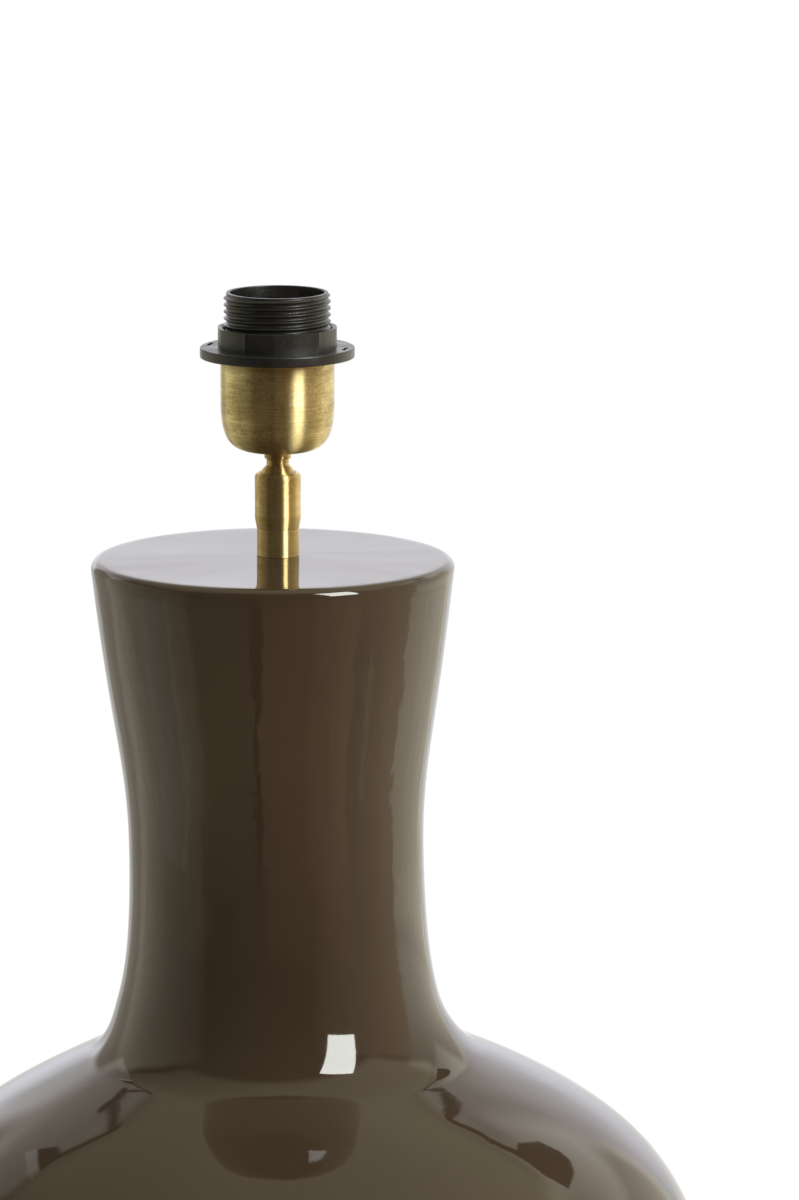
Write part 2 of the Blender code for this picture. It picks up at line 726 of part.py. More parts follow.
def make_barrel(tilt):
    """The black barrel: a plain skirt in the cup, and above it the thread for the shade ring."""
    skirt_top = CUP_Z + CUP_HEIGHT - BARREL_Z
    top = skirt_top + BARREL_THREAD_LENGTH
    barrel = turned(
        "barrel", tube_outline(BARREL_BORE_RADIUS, SKIRT_RADIUS + OVERRUN, 0, top),
        THREAD_STEPS, "black_plastic",
    )
    place(barrel, tilt, (0, 0, BARREL_Z))
    form = helix(
        "barrel_form", BARREL_ROOT_RADIUS, BARREL_THREAD_DEPTH, BARREL_PITCH,
        BARREL_THREAD_SHARES, skirt_top, top, THREAD_STEPS,
    )
    plain = turned("skirt_form", rod_outline(SKIRT_RADIUS, -OVERRUN, skirt_top), THREAD_STEPS)
    boolean(form, plain, "UNION")
    boolean(barrel, form, "INTERSECT")


def make_shade_ring(tilt):
    """The ring that clamps a shade: a wide flange under a many-sided grip."""
    bore = RING_BORE_RADIUS
    flange = rod_outline(bore + RING_FLANGE_WIDTH, 0, RING_FLANGE)
    ring = turned("shade_ring", flange, HOLDER_STEPS, "black_plastic")
    grip = turned("grip_tool", rod_outline(bore + RING_GRIP_WALL, RING_FLANGE / 2, RING_HEIGHT), RING_SIDES)
    turn_mesh(grip, Matrix.Rotation(RING_SIDE_ANGLE - math.pi / 2, 4, "Z"))
    boolean(ring, grip, "UNION")
    bore_outline = rod_outline(bore, -OVERRUN, RING_HEIGHT + OVERRUN)
    cutter = turned_tool("ring_cutter", bore_outline, HOLDER_STEPS)
    boolean(ring, cutter, "DIFFERENCE")
    for number in range(2):
        slot = block(
            "slot_cutter",
            (RING_SLOT_WIDTH, RING_SLOT_LENGTH, 2 * RING_SLOT_DEPTH),
            (bore + RING_SLOT_PLACE_SHARE * RING_FLANGE_WIDTH, 0, RING_FLANGE),
        )
        turn_mesh(slot, Matrix.Rotation(RING_SLOT_ANGLE + math.pi * number, 4, "Z"))
        boolean(ring, slot, "DIFFERENCE")
    place(ring, tilt, (0, 0, RING_Z))


def make_socket(tilt):
    """The sleeve, insulator, screw shell and side contact inside the barrel."""
    sleeve = turned(
        "shell_sleeve",
        [
            (SLEEVE_BORE_RADIUS, 0),
            (SLEEVE_RADIUS, 0),
            (SLEEVE_RADIUS, SLEEVE_HEIGHT),
            (SLEEVE_BORE_RADIUS + SLEEVE_CHAMFER, SLEEVE_HEIGHT),
            (SLEEVE_BORE_RADIUS, SLEEVE_HEIGHT - SLEEVE_CHAMFER),
        ],
        HOLDER_STEPS, "black_plastic",
    )
    place(sleeve, tilt, (0, 0, SLEEVE_Z))
    side_outer = SLEEVE_BORE_RADIUS - GAP
    side_inner = side_outer - SIDE_CONTACT_WIDTH
    insulator = turned(
        "contact_insulator",
        tube_outline(WIRE_HOLE_RADIUS, side_inner - GAP, 0, INSULATOR_HEIGHT), JOINT_STEPS, "porcelain",
    )
    place(insulator, tilt, (0, 0, SLEEVE_Z))
    side = turned(
        "side_contact",
        tube_outline(side_inner, side_outer, INSULATOR_HEIGHT - SIDE_CONTACT_HEIGHT, INSULATOR_HEIGHT),
        JOINT_STEPS, "brass",
    )
    place(side, tilt, (0, 0, SLEEVE_Z))


def make_shell(tilt):
    """The rolled screw shell that takes the lamp."""
    root = SHELL_CREST_RADIUS - SHELL_THREAD_DEPTH
    blank = tube_outline(SHELL_BORE_RADIUS - OVERRUN, SHELL_CREST_RADIUS + OVERRUN, 0, SHELL_HEIGHT)
    shell = turned("screw_shell", blank, JOINT_STEPS, "brass")
    turn_mesh(shell, Matrix.Rotation(TOOL_TURN, 4, "Z"))
    place(shell, tilt, (0, 0, SHELL_Z))
    cuts = (("shell_form", 0, "INTERSECT"), ("shell_bore", SHELL_WALL, "DIFFERENCE"))
    for name, inset, operation in cuts:
        tool = helix(
            name, root - inset, SHELL_THREAD_DEPTH, SHELL_PITCH,
            SHELL_THREAD_SHARES, 0, SHELL_HEIGHT, SMALL_STEPS,
        )
        boolean(shell, tool, operation)


def make_centre_contact(tilt):
    """The springy tongue under the lamp's cap, with its origin on the line where it bends."""
    reach = CONTACT_LENGTH_SHARE * SHELL_BORE_RADIUS
    foot = CONTACT_FOOT_SHARE * SHELL_BORE_RADIUS
    tip = CONTACT_TIP_SHARE * SHELL_BORE_RADIUS
    width = CONTACT_WIDTH_SHARE * SHELL_BORE_RADIUS
    points = [(-foot, 0), (0, 0), (reach, CONTACT_RISE), (reach + tip, CONTACT_RISE / 2)]
    outline = points + [(x, z + CONTACT_THICKNESS) for x, z in points[::-1]]
    bm = bmesh.new()
    near, far = ([bm.verts.new((x, y, z)) for x, z in outline] for y in (-width / 2, width / 2))
    bm.faces.new(near)
    bm.faces.new(far)
    for start, end in zip(range(-1, len(outline) - 1), range(len(outline))):
        bm.faces.new((near[start], near[end], far[end], far[start]))
    tongue = add_object("centre_contact", bm, "brass")
    place(tongue, tilt, (-reach, 0, SLEEVE_Z + INSULATOR_HEIGHT + GAP))


def main():
    """Builds the lamp."""
    clear_scene()
    make_vase()
    make_grommet()
    make_felt()
    make_tube_set()
    make_joint_base()
    make_housing()
    make_spring_washer()
    swivel = add_axis("swivel_axis", None, (0, 0, BALL_Z))
    tilt = add_axis("tilt_axis", swivel, (0, 0, BALL_Z))
    make_friction_seat(swivel)
    make_ball_stem(tilt)
    make_cup(tilt)
    make_bush(tilt)
    make_holder_base(tilt)
    make_barrel(tilt)
    make_shade_ring(tilt)
    make_socket(tilt)
    make_shell(tilt)
    make_centre_contact(tilt)


main()
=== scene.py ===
import math

import bmesh
import bpy
from mathutils import Matrix, Vector, noise


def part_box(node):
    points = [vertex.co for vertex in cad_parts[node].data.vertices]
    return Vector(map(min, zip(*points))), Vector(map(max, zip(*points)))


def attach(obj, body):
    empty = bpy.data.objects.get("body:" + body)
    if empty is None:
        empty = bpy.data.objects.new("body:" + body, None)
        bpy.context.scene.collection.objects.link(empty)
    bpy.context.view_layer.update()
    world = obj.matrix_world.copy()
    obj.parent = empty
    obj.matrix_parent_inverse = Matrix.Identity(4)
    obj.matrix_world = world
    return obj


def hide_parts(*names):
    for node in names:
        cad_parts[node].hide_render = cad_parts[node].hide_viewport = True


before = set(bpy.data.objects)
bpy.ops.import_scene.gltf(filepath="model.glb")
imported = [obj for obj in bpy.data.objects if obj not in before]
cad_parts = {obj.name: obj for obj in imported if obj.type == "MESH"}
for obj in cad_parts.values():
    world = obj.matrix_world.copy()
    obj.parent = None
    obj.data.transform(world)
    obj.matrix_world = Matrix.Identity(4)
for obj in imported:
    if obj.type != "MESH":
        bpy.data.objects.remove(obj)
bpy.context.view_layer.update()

# Lengths are in metres, and outlines run in (radius, height).

# Vase outline, as the solids have it. Its waist, throat and belly have a radius, and a depth below
# the top as a share of the height.
VASE_HEIGHT = 0.398
TOP_RADIUS = 0.068
RIM_ROUND = 0.0035
WAIST = (0.0556, 0.285)
THROAT = (0.0765, 0.4834)
BELLY = (0.1598, 0.7284)
FOOT_RADIUS = 0.075
FOOT_BAND = 0.018
NECK_SLOPE = -0.107
THROAT_ANGLE = math.radians(64.6)
FOOT_ANGLE = math.radians(-42)
# For each of its curves from the top down: how far the handles reach from both ends, as shares of
# the curve's run, and a count of steps
CURVES = ((0.6, 0.33, 34), (0.563, 0.223, 40), (0.327, 0.457, 48), (0.42, 0.30, 40))
VASE_WALL = 0.007
FOOT_WIDTH = 0.009
RECESS_DEPTH = 0.0155
FOOT_Z = 0.0023
DISC_Z = FOOT_Z + VASE_HEIGHT
TUBE_HOLE = 0.0053
NECK_FOOT_Z = 0.235

# How the hand-made body strays from its axis: sideways at its disc, low neck and shoulder, and
# towards the front at its disc. Then the shares of the height between which each sets in.
DISC_OFFSET = (-0.0017, -0.0065)
NECK_OFFSET = -0.0003
SHOULDER_OFFSET = 0.0034
STRAIGHT_FOOT = (0.0, 0.22)
NECK_STRAY = (0.90, 0.52)
SHOULDER_STRAY = (0.575, 0.485)
FRONT_STRAY = (0.7, 1.0)
# Radii between which the straying and the unevenness set in round the tube's hole, and heights
# between which the unevenness sets in above the foot
STRAIGHT_HOLE = (0.012, 0.04)
EVEN_HOLE = (0.010, 0.03)
EVEN_FOOT = (FOOT_BAND / 2, 0.06)
UNEVENNESS = 0.00036
# Slow waves, throwing ribs and glaze runs: waves across and up, a shift, and each one's share
SURFACE_WAVES = (
    (16, 7, (3.1, 7.7, 1.9), 1), (30, 46, (8.3, 2.2, 5.1), 0.22), (70, 9, (1.7, 4.4, 9.2), 0.16),
)

# The gap left between pieces that sit tight, in place of the wider one between the solids
TIGHT = 0.00004
SOLID_GAP = 0.0003

# Smoothness, as counts
VASE_STEPS = 256
PIECE_STEPS = 144
RING_STEPS = 360
THREAD_STEPS = 180
SMALL_STEPS = 64
FLOOR_STEPS = 96
RIM_STEPS = 12
INNER_STRIDE = 6
SHARP_DEGREES = 38
CORNER_DEGREES = 12


# Outlines


def curve(start, start_handle, end_handle, end, count):
    """Points of a cubic curve, without its first point."""
    points = []
    for step in range(1, count + 1):
        t = step / count
        weights = ((1 - t) ** 3, 3 * (1 - t) ** 2 * t, 3 * (1 - t) * t**2, t**3)
        corners = (start, start_handle, end_handle, end)
        points.append(tuple(sum(w * c[k] for w, c in zip(weights, corners)) for k in (0, 1)))
    return points


def arc(centre, radius, start_degrees, end_degrees, count):
    """Points of an arc, both ends included."""
    points = []
    for step in range(count + 1):
        angle = math.radians(start_degrees + (end_degrees - start_degrees) * step / count)
        points.append((centre[0] + radius * math.cos(angle), centre[1] + radius * math.sin(angle)))
    return points


def along(point, way, distance):
    """A point moved along a direction."""
    return (point[0] + way[0] * distance, point[1] + way[1] * distance)


def softened(points, radius, closed=True, count=4):
    """An outline with rounded corners, and a held edge beside each, so that flats stay flat."""
    most_reach, hold_share, most_hold = 0.4, 1.3, 0.47
    made = []
    total = len(points)
    for index, here in enumerate(points):
        spot = Vector(here)
        back = Vector(points[index - 1]) - spot
        on = Vector(points[(index + 1) % total]) - spot
        turn = math.pi - back.angle(on)
        if (not closed and index in (0, total - 1)) or turn < math.radians(CORNER_DEGREES):
            made.append(here)
            continue
        shorter = min(back.length, on.length)
        reach = min(radius * math.tan(turn / 2), most_reach * shorter)
        hold = min(hold_share * reach, most_hold * shorter)
        first = spot + back.normalized() * reach
        last = spot + on.normalized() * reach
        made.append(tuple(spot + back.normalized() * hold))
        for step in range(count + 1):
            t = step / count
            made.append(tuple(first * (1 - t) ** 2 + spot * 2 * t * (1 - t) + last * t**2))
        made.append(tuple(spot + on.normalized() * hold))
    return made


def inset(points, wall):
    """Points moved inwards by a wall, square to the line through their neighbours."""
    moved = []
    for before, here, after in zip(points, points[1:], points[2:]):
        run = (after[0] - before[0], after[1] - before[1])
        length = math.hypot(*run)
        moved.append((here[0] + wall * run[1] / length, here[1] - wall * run[0] / length))
    return moved


def smooth_step(low, high, value):
    """A share from 0 at low to 1 at high, with soft ends."""
    t = min(1.0, max(0.0, (value - low) / (high - low)))
    return t * t * (3 - 2 * t)


# Meshes


def add_object(name, data):
    """An object in the scene."""
    item = bpy.data.objects.new(name, data)
    bpy.context.scene.collection.objects.link(item)
    return item


def add_mesh(name, points, faces):
    """A smooth-shaded object from points and faces, with its faces pointing out."""
    mesh = bpy.data.meshes.new(name)
    mesh.from_pydata(points, [], faces)
    bm = bmesh.new()
    bm.from_mesh(mesh)
    bmesh.ops.recalc_face_normals(bm, faces=bm.faces)
    bm.to_mesh(mesh)
    bm.free()
    mesh.shade_smooth()
    mesh.set_sharp_from_angle(angle=math.radians(SHARP_DEGREES))
    return add_object(name, mesh)


def bridged(row, next_row, count):
    """Faces between two rows of points that each close into a ring."""
    near, far = row * count, next_row * count
    return [
        (near + step, near + (step + 1) % count, far + (step + 1) % count, far + step)
        for step in range(count)
    ]


def revolved(name, outline, steps, shape=None):
    """A piece turned about Z. shape may move each point, from its place in the outline and its angle.

    An outline that starts and ends on the axis makes a solid, and any other one closes into a ring.
    """
    ring = outline[0][0] > 0
    rows = outline if ring else outline[1:-1]
    points = []
    for index, (radius, height) in enumerate(rows):
        for step in range(steps):
            angle = math.tau * step / steps
            r, z = shape(index, radius, height, angle) if shape else (radius, height)
            points.append((r * math.cos(angle), r * math.sin(angle), z))
    count = len(rows)
    faces = []
    for row in range(count if ring else count - 1):
        faces += bridged(row, (row + 1) % count, steps)
    if not ring:
        for end, row in ((outline[0], 0), (outline[-1], (count - 1) * steps)):
            points.append((0, 0, end[1]))
            pole = len(points) - 1
            faces += [(row + step, row + (step + 1) % steps, pole) for step in range(steps)]
    return add_mesh(name, points, faces)


def lay_back(item, start, height):
    """Turns a piece made about Z towards the back, from a start on Y and at a height."""
    turn = Matrix.Rotation(math.radians(-90), 4, "X")
    item.data.transform(Matrix.Translation((0, start, height)) @ turn)


def box_tool(name, size, centre, turn, edge_round=0.00025):
    """A box with rounded edges for cutting, turned about Z."""
    bm = bmesh.new()
    bmesh.ops.create_cube(bm, size=1)
    bmesh.ops.scale(bm, vec=size, verts=bm.verts)
    bmesh.ops.translate(bm, vec=centre, verts=bm.verts)
    bmesh.ops.bevel(
        bm, geom=bm.edges, offset=edge_round, segments=3, affect="EDGES", profile=0.5,
    )
    bmesh.ops.rotate(bm, matrix=Matrix.Rotation(turn, 3, "Z"), cent=(0, 0, 0), verts=bm.verts)
    mesh = bpy.data.meshes.new(name)
    bm.to_mesh(mesh)
    bm.free()
    return add_object(name, mesh)


def cut(item, tools):
    """Cuts tools out of a piece for good."""
    for tool in tools:
        step = item.modifiers.new("cut", "BOOLEAN")
        step.operation = "DIFFERENCE"
        step.solver = "EXACT"
        step.object = tool
    bpy.context.view_layer.update()
    graph = bpy.context.evaluated_depsgraph_get()
    mesh = bpy.data.meshes.new_from_object(item.evaluated_get(graph))
    item.modifiers.clear()
    item.data = mesh
    mesh.name = item.name
    mesh.set_sharp_from_angle(angle=math.radians(SHARP_DEGREES))
    for tool in tools:
        bpy.data.objects.remove(tool)


# Node trees


def add(tree, kind, inputs=None, **settings):
    """A node with its settings, and with values or links for its inputs."""
    node = tree.nodes.new(kind)
    for key, value in settings.items():
        setattr(node, key, value)
    for key, value in (inputs or {}).items():
        if isinstance(value, bpy.types.NodeSocket):
            tree.links.new(value, node.inputs[key])
        else:
            node.inputs[key].default_value = value
    return node


def calc(tree, operation, *values):
    """The result of a Math node."""
    return add(tree, "ShaderNodeMath", dict(enumerate(values)), operation=operation).outputs[0]


def times(tree, first, second):
    """The product of two numbers."""
    return calc(tree, "MULTIPLY", first, second)


def vector(tree, operation, *values, **scale):
    """The result of a Vector Math node: a number for a measure of vectors, or else a vector."""
    inputs = dict(enumerate(values)) | scale
    made = add(tree, "ShaderNodeVectorMath", inputs, operation=operation).outputs
    return made["Value" if operation in ("LENGTH", "DISTANCE", "DOT_PRODUCT") else "Vector"]


def joined(tree, *parts):
    """A vector from up to three numbers."""
    return add(tree, "ShaderNodeCombineXYZ", dict(enumerate(parts))).outputs[0]


def clouds(tree, place, scale, detail, roughness=0.5):
    """Cloudy noise round 0.5 at a place."""
    inputs = {"Vector": place, "Scale": scale, "Detail": detail, "Roughness": roughness}
    return add(tree, "ShaderNodeTexNoise", inputs).outputs["Fac"]


def ramp(tree, value, low, high, to_low=0.0, to_high=1.0, smooth=True):
    """A value carried from one range to another, with its ends held."""
    kind = "SMOOTHSTEP" if smooth else "LINEAR"
    inputs = {"Value": value, "From Min": low, "From Max": high, "To Min": to_low, "To Max": to_high}
    return add(tree, "ShaderNodeMapRange", inputs, interpolation_type=kind).outputs[0]


def mixed(tree, share, first, second):
    """A colour between two."""
    node = add(tree, "ShaderNodeMix", {0: share, 6: first, 7: second}, data_type="RGBA")
    return node.outputs[2]


def bump(tree, height, depth, normal=None):
    """A normal bent by a height from 0 to 1, which stands for a depth in metres."""
    inputs = {"Height": height, "Distance": depth, "Strength": 1.0}
    if normal:
        inputs["Normal"] = normal
    return add(tree, "ShaderNodeBump", inputs).outputs[0]


def new_group(name, inputs, outputs=("Mask",)):
    """An empty node group with named sockets."""
    tree = bpy.data.node_groups.new(name, "ShaderNodeTree")
    for label, value in inputs.items():
        kind = "NodeSocketVector" if value is None else "NodeSocketFloat"
        socket = tree.interface.new_socket(name=label, in_out="INPUT", socket_type=kind)
        if value is not None:
            socket.default_value = value
    for label in outputs:
        tree.interface.new_socket(name=label, in_out="OUTPUT", socket_type="NodeSocketFloat")
    return tree, add(tree, "NodeGroupInput").outputs, add(tree, "NodeGroupOutput").inputs


def mottle_group():
    """Cloudy patches of a given size: how much one colour or finish drifts into another."""
    tree, given, out = new_group("mottle", {"Place": None, "Size": 0.01, "Sharpness": 0.3})
    cloud = clouds(tree, given["Place"], calc(tree, "DIVIDE", 1.0, given["Size"]), 4.0, 0.55)
    low = ramp(tree, given["Sharpness"], 0.0, 1.0, 0.25, 0.49, smooth=False)
    high = ramp(tree, given["Sharpness"], 0.0, 1.0, 0.75, 0.51, smooth=False)
    tree.links.new(ramp(tree, cloud, low, high), out["Mask"])
    return tree


def turned_lines_group():
    """Fine lines round a turned or brushed piece's axis, on its sides and on its end faces."""
    inputs = {"Place": None, "Line width": 0.0002, "Runs": 6.0}
    tree, given, out = new_group("turned_lines", inputs, ("Height", "Streaks"))
    fine_share, slow_share, slow_scale = 0.6, 0.4, 0.13
    parts = add(tree, "ShaderNodeSeparateXYZ", {0: given["Place"]}).outputs
    flat = joined(tree, parts[0], parts[1])
    round_way = vector(tree, "SCALE", vector(tree, "NORMALIZE", flat), Scale=given["Runs"])
    reach = calc(tree, "ADD", parts[2], vector(tree, "LENGTH", flat))
    lift = joined(tree, 0.0, 0.0, calc(tree, "DIVIDE", reach, given["Line width"]))
    spot = vector(tree, "ADD", round_way, lift)
    fine = clouds(tree, spot, 1.0, 3.0, 0.6)
    slow = clouds(tree, spot, slow_scale, 2.0)
    both = calc(tree, "ADD", times(tree, fine, fine_share), times(tree, slow, slow_share))
    tree.links.new(fine, out["Height"])
    tree.links.new(ramp(tree, both, 0.36, 0.64), out["Streaks"])
    return tree


def specks_group():
    """Small scattered spots, such as dust, pits or dark grains in a glaze."""
    tree, given, out = new_group("specks", {"Place": None, "Spacing": 0.004, "Share": 0.2})
    least, spread, core = 0.03, 0.09, 0.6
    scale = calc(tree, "DIVIDE", 1.0, given["Spacing"])
    inputs = {"Vector": given["Place"], "Scale": scale, "Randomness": 1.0}
    cells = add(tree, "ShaderNodeTexVoronoi", inputs).outputs
    chance = add(tree, "ShaderNodeSeparateColor", {0: cells["Color"]}).outputs
    size = calc(tree, "ADD", times(tree, chance[1], spread), least)
    spot = ramp(tree, cells["Distance"], times(tree, size, core), size, 1.0, 0.0)
    kept = calc(tree, "LESS_THAN", chance[0], given["Share"])
    tree.links.new(times(tree, spot, kept), out["Mask"])
    return tree


def grain_group():
    """The fine uneven skin of moulded or sprayed surfaces."""
    tree, given, out = new_group("skin_grain", {"Place": None, "Size": 0.0004}, ("Height",))
    fine_share, coarse_share, coarse_scale = 0.7, 0.3, 0.2
    scale = calc(tree, "DIVIDE", 1.0, given["Size"])
    fine = clouds(tree, given["Place"], scale, 2.0, 0.6)
    coarse = clouds(tree, given["Place"], times(tree, scale, coarse_scale), 1.0)
    both = calc(tree, "ADD", times(tree, fine, fine_share), times(tree, coarse, coarse_share))
    tree.links.new(both, out["Height"])
    return tree


def edge_wear_group():
    """Edges that rubbing has brightened, broken up so that no edge is worn evenly."""
    tree, given, out = new_group("edge_wear", {"Place": None, "Width": 0.0004, "Breaks": 0.003})
    rounded = add(tree, "ShaderNodeBevel", {"Radius": given["Width"]}, samples=4).outputs[0]
    plain = add(tree, "ShaderNodeNewGeometry").outputs["Normal"]
    edge = ramp(tree, vector(tree, "DOT_PRODUCT", rounded, plain), 0.995, 0.86)
    breaks = clouds(tree, given["Place"], calc(tree, "DIVIDE", 1.0, given["Breaks"]), 3.0)
    tree.links.new(times(tree, edge, ramp(tree, breaks, 0.35, 0.65)), out["Mask"])
    return tree


# A card's sockets, with what they hold until it is used
CARD = {
    "Across": 0.0, "Up": 0.0, "Left": -1.0, "Right": 1.0, "Bottom": -1.0, "Top": 1.0,
    "Softness": 0.05, "Left light": 1.0, "Right light": 1.0, "Top share": 1.0,
}


def studio_card_group():
    """A soft-edged card seen in two coordinates. Its light drifts across it and up it."""
    tree, given, out = new_group("studio_card", CARD, ("Light",))
    across, up, left, right, bottom, top, soft, left_light, right_light, top_share = given[:len(CARD)]
    light = ramp(tree, across, left, right, left_light, right_light, smooth=False)
    light = times(tree, light, ramp(tree, up, bottom, top, 1.0, top_share, smooth=False))
    for value, edge, outer, inner in (
        (across, left, "SUBTRACT", "ADD"), (up, bottom, "SUBTRACT", "ADD"),
        (across, right, "ADD", "SUBTRACT"), (up, top, "ADD", "SUBTRACT"),
    ):
        start, end = calc(tree, outer, edge, soft), calc(tree, inner, edge, soft)
        light = times(tree, light, ramp(tree, value, start, end))
    tree.links.new(light, out["Light"])
    return tree


GROUPS = {tree.name: tree for tree in (
    mottle_group(), turned_lines_group(), specks_group(), grain_group(), edge_wear_group(),
    studio_card_group(),
)}


def use(tree, name, inputs):
    """A shared effect's outputs, with this material's values."""
    return add(tree, "ShaderNodeGroup", inputs, node_tree=GROUPS[name]).outputs


def mottle(tree, place, size, sharpness):
    """How far cloudy patches cover a place."""
    return use(tree, "mottle", {"Place": place, "Size": size, "Sharpness": sharpness})[0]


def specks(tree, place, spacing, share):
    """How far scattered spots cover a place."""
    return use(tree, "specks", {"Place": place, "Spacing": spacing, "Share": share})[0]


def rubbed(tree, place, width, breaks):
    """How far rubbed edges cover a place."""
    return use(tree, "edge_wear", {"Place": place, "Width": width, "Breaks": breaks})[0]


def grain(tree, place, size):
    """The height of a fine uneven skin."""
    return use(tree, "skin_grain", {"Place": place, "Size": size})[0]


def new_material(name, **sockets):
    """A material with its Principled shader, and the piece's own coordinates."""
    made = bpy.data.materials.new(name)
    made.use_nodes = True
    tree = made.node_tree
    shader = tree.nodes["Principled BSDF"]
    for key, value in sockets.items():
        shader.inputs[key.replace("_", " ")].default_value = value
    place = add(tree, "ShaderNodeTexCoord").outputs["Object"]
    return made, tree, shader, place


def feed(tree, shader, **sockets):
    """Links results to the shader's inputs."""
    for key, value in sockets.items():
        tree.links.new(value, shader.inputs[key.replace("_", " ")])


def rgb(red, green, blue):
    """A colour with its fourth number."""
    return (red, green, blue, 1.0)


def dimmed(colour, share):
    """A colour's share, with its fourth number."""
    return rgb(*[min(1.0, c * share) for c in colour])


# Materials


def glaze_material():
    """Glossy brown glaze over pale clay, which shows only at the foot's edge."""
    made, tree, shader, place = new_material("glaze", IOR=1.52)
    dark, pale, speck = rgb(0.050, 0.0335, 0.0215), rgb(0.056, 0.038, 0.0245), rgb(0.02, 0.013, 0.008)
    clay_colour, clay_roughness = rgb(0.40, 0.31, 0.22), 0.7
    speck_share, clay_drift, drip_stretch, disc_calm = 0.35, -0.0016, 0.12, 0.12
    body = mixed(tree, mottle(tree, place, size=0.06, sharpness=0.2), dark, pale)
    spots = specks(tree, place, spacing=0.006, share=0.12)
    body = mixed(tree, times(tree, spots, speck_share), body, speck)
    height = add(tree, "ShaderNodeSeparateXYZ", {0: place}).outputs[2]
    drift = times(tree, clouds(tree, place, scale=55.0, detail=3.0), clay_drift)
    clay = ramp(tree, calc(tree, "ADD", height, drift), FOOT_Z + 0.0014, FOOT_Z + 0.0006)
    colour = mixed(tree, clay, body, clay_colour)
    polish = ramp(tree, mottle(tree, place, size=0.035, sharpness=0.5), 0.0, 1.0, 0.022, 0.05)
    rough = calc(tree, "ADD", polish, times(tree, clay, clay_roughness))
    waves = clouds(tree, place, scale=42.0, detail=1.0)
    peel = clouds(tree, place, scale=380.0, detail=1.0)
    drawn = vector(tree, "MULTIPLY", place, (1, 1, drip_stretch))
    drips = clouds(tree, drawn, scale=170.0, detail=2.0)
    # the drips run on the neck only, and the disc is calmer than the rest
    off_disc = ramp(tree, height, DISC_Z - 0.002, DISC_Z - 0.007)
    on_neck = times(tree, ramp(tree, height, NECK_FOOT_Z, NECK_FOOT_Z + 0.05), off_disc)
    calm = ramp(tree, off_disc, 0.0, 1.0, disc_calm, 1.0, smooth=False)
    normal = bump(tree, times(tree, waves, calm), depth=0.00011)
    normal = bump(tree, times(tree, drips, on_neck), 0.00013, normal)
    normal = bump(tree, peel, 0.000004, normal)
    feed(tree, shader, Base_Color=colour, Roughness=rough, Normal=normal)
    return made


def metal_material(
    name, colour, dull, rough, width, runs, depth, spread, wear=0.0, streaks=0.45, pits=(),
):
    """Turned or brushed metal: lines round the piece, a drifting tarnish, rubbed edges and pits."""
    tarnish_share, tarnish_roughness, freckle_share, freckle_shade = 0.35, 0.05, 0.4, 0.5
    pit_shade, worn_shade = 0.18, 1.15
    made, tree, shader, place = new_material(
        name, Metallic=0.89, Anisotropic=spread, Anisotropic_Rotation=0.25,
    )
    lines = use(tree, "turned_lines", {"Place": place, "Line width": width, "Runs": runs})
    tarnish = mottle(tree, place, size=0.012, sharpness=0.35)
    shade = mixed(tree, times(tree, lines["Streaks"], streaks), rgb(*colour), rgb(*dull))
    shade = mixed(tree, times(tree, tarnish, tarnish_share), shade, rgb(*dull))
    freckles = mottle(tree, place, size=0.0011, sharpness=0.5)
    freckles = times(tree, freckles, times(tree, tarnish, freckle_share))
    shade = mixed(tree, freckles, shade, dimmed(dull, freckle_shade))
    for spot, size in pits:
        away = vector(tree, "DISTANCE", place, spot)
        shade = mixed(tree, ramp(tree, away, size, size / 2), shade, dimmed(dull, pit_shade))
    roughness = ramp(tree, lines["Streaks"], 0.0, 1.0, *rough)
    roughness = calc(tree, "ADD", roughness, times(tree, tarnish, tarnish_roughness))
    if wear:
        edges = rubbed(tree, place, width=0.0004, breaks=0.004)
        shade = mixed(tree, times(tree, edges, wear), shade, dimmed(colour, worn_shade))
    normal = bump(tree, lines["Height"], depth)
    tangent = add(tree, "ShaderNodeTangent", direction_type="RADIAL", axis="Z").outputs[0]
    feed(tree, shader, Base_Color=shade, Roughness=roughness, Normal=normal, Tangent=tangent)
    return made


def moulded_material(name, colour, worn, rough, skin, depth, dust=0.15):
    """Moulded plastic or rubber: fine skin, paler rubbed edges and a little dust."""
    cloud_shade, worn_share, dust_share = 0.8, 0.3, 0.35
    made, tree, shader, place = new_material(name, IOR=1.5)
    cloud = mottle(tree, place, size=0.009, sharpness=0.4)
    shade = mixed(tree, cloud, dimmed(colour, cloud_shade), rgb(*colour))
    edges = rubbed(tree, place, width=0.00035, breaks=0.0025)
    shade = mixed(tree, times(tree, edges, worn_share), shade, rgb(*worn))
    fluff = specks(tree, place, spacing=0.0022, share=dust)
    shade = mixed(tree, times(tree, fluff, dust_share), shade, rgb(*worn))
    normal = bump(tree, grain(tree, place, skin), depth)
    roughness = ramp(tree, cloud, 0.0, 1.0, *rough)
    feed(tree, shader, Base_Color=shade, Roughness=roughness, Normal=normal)
    return made


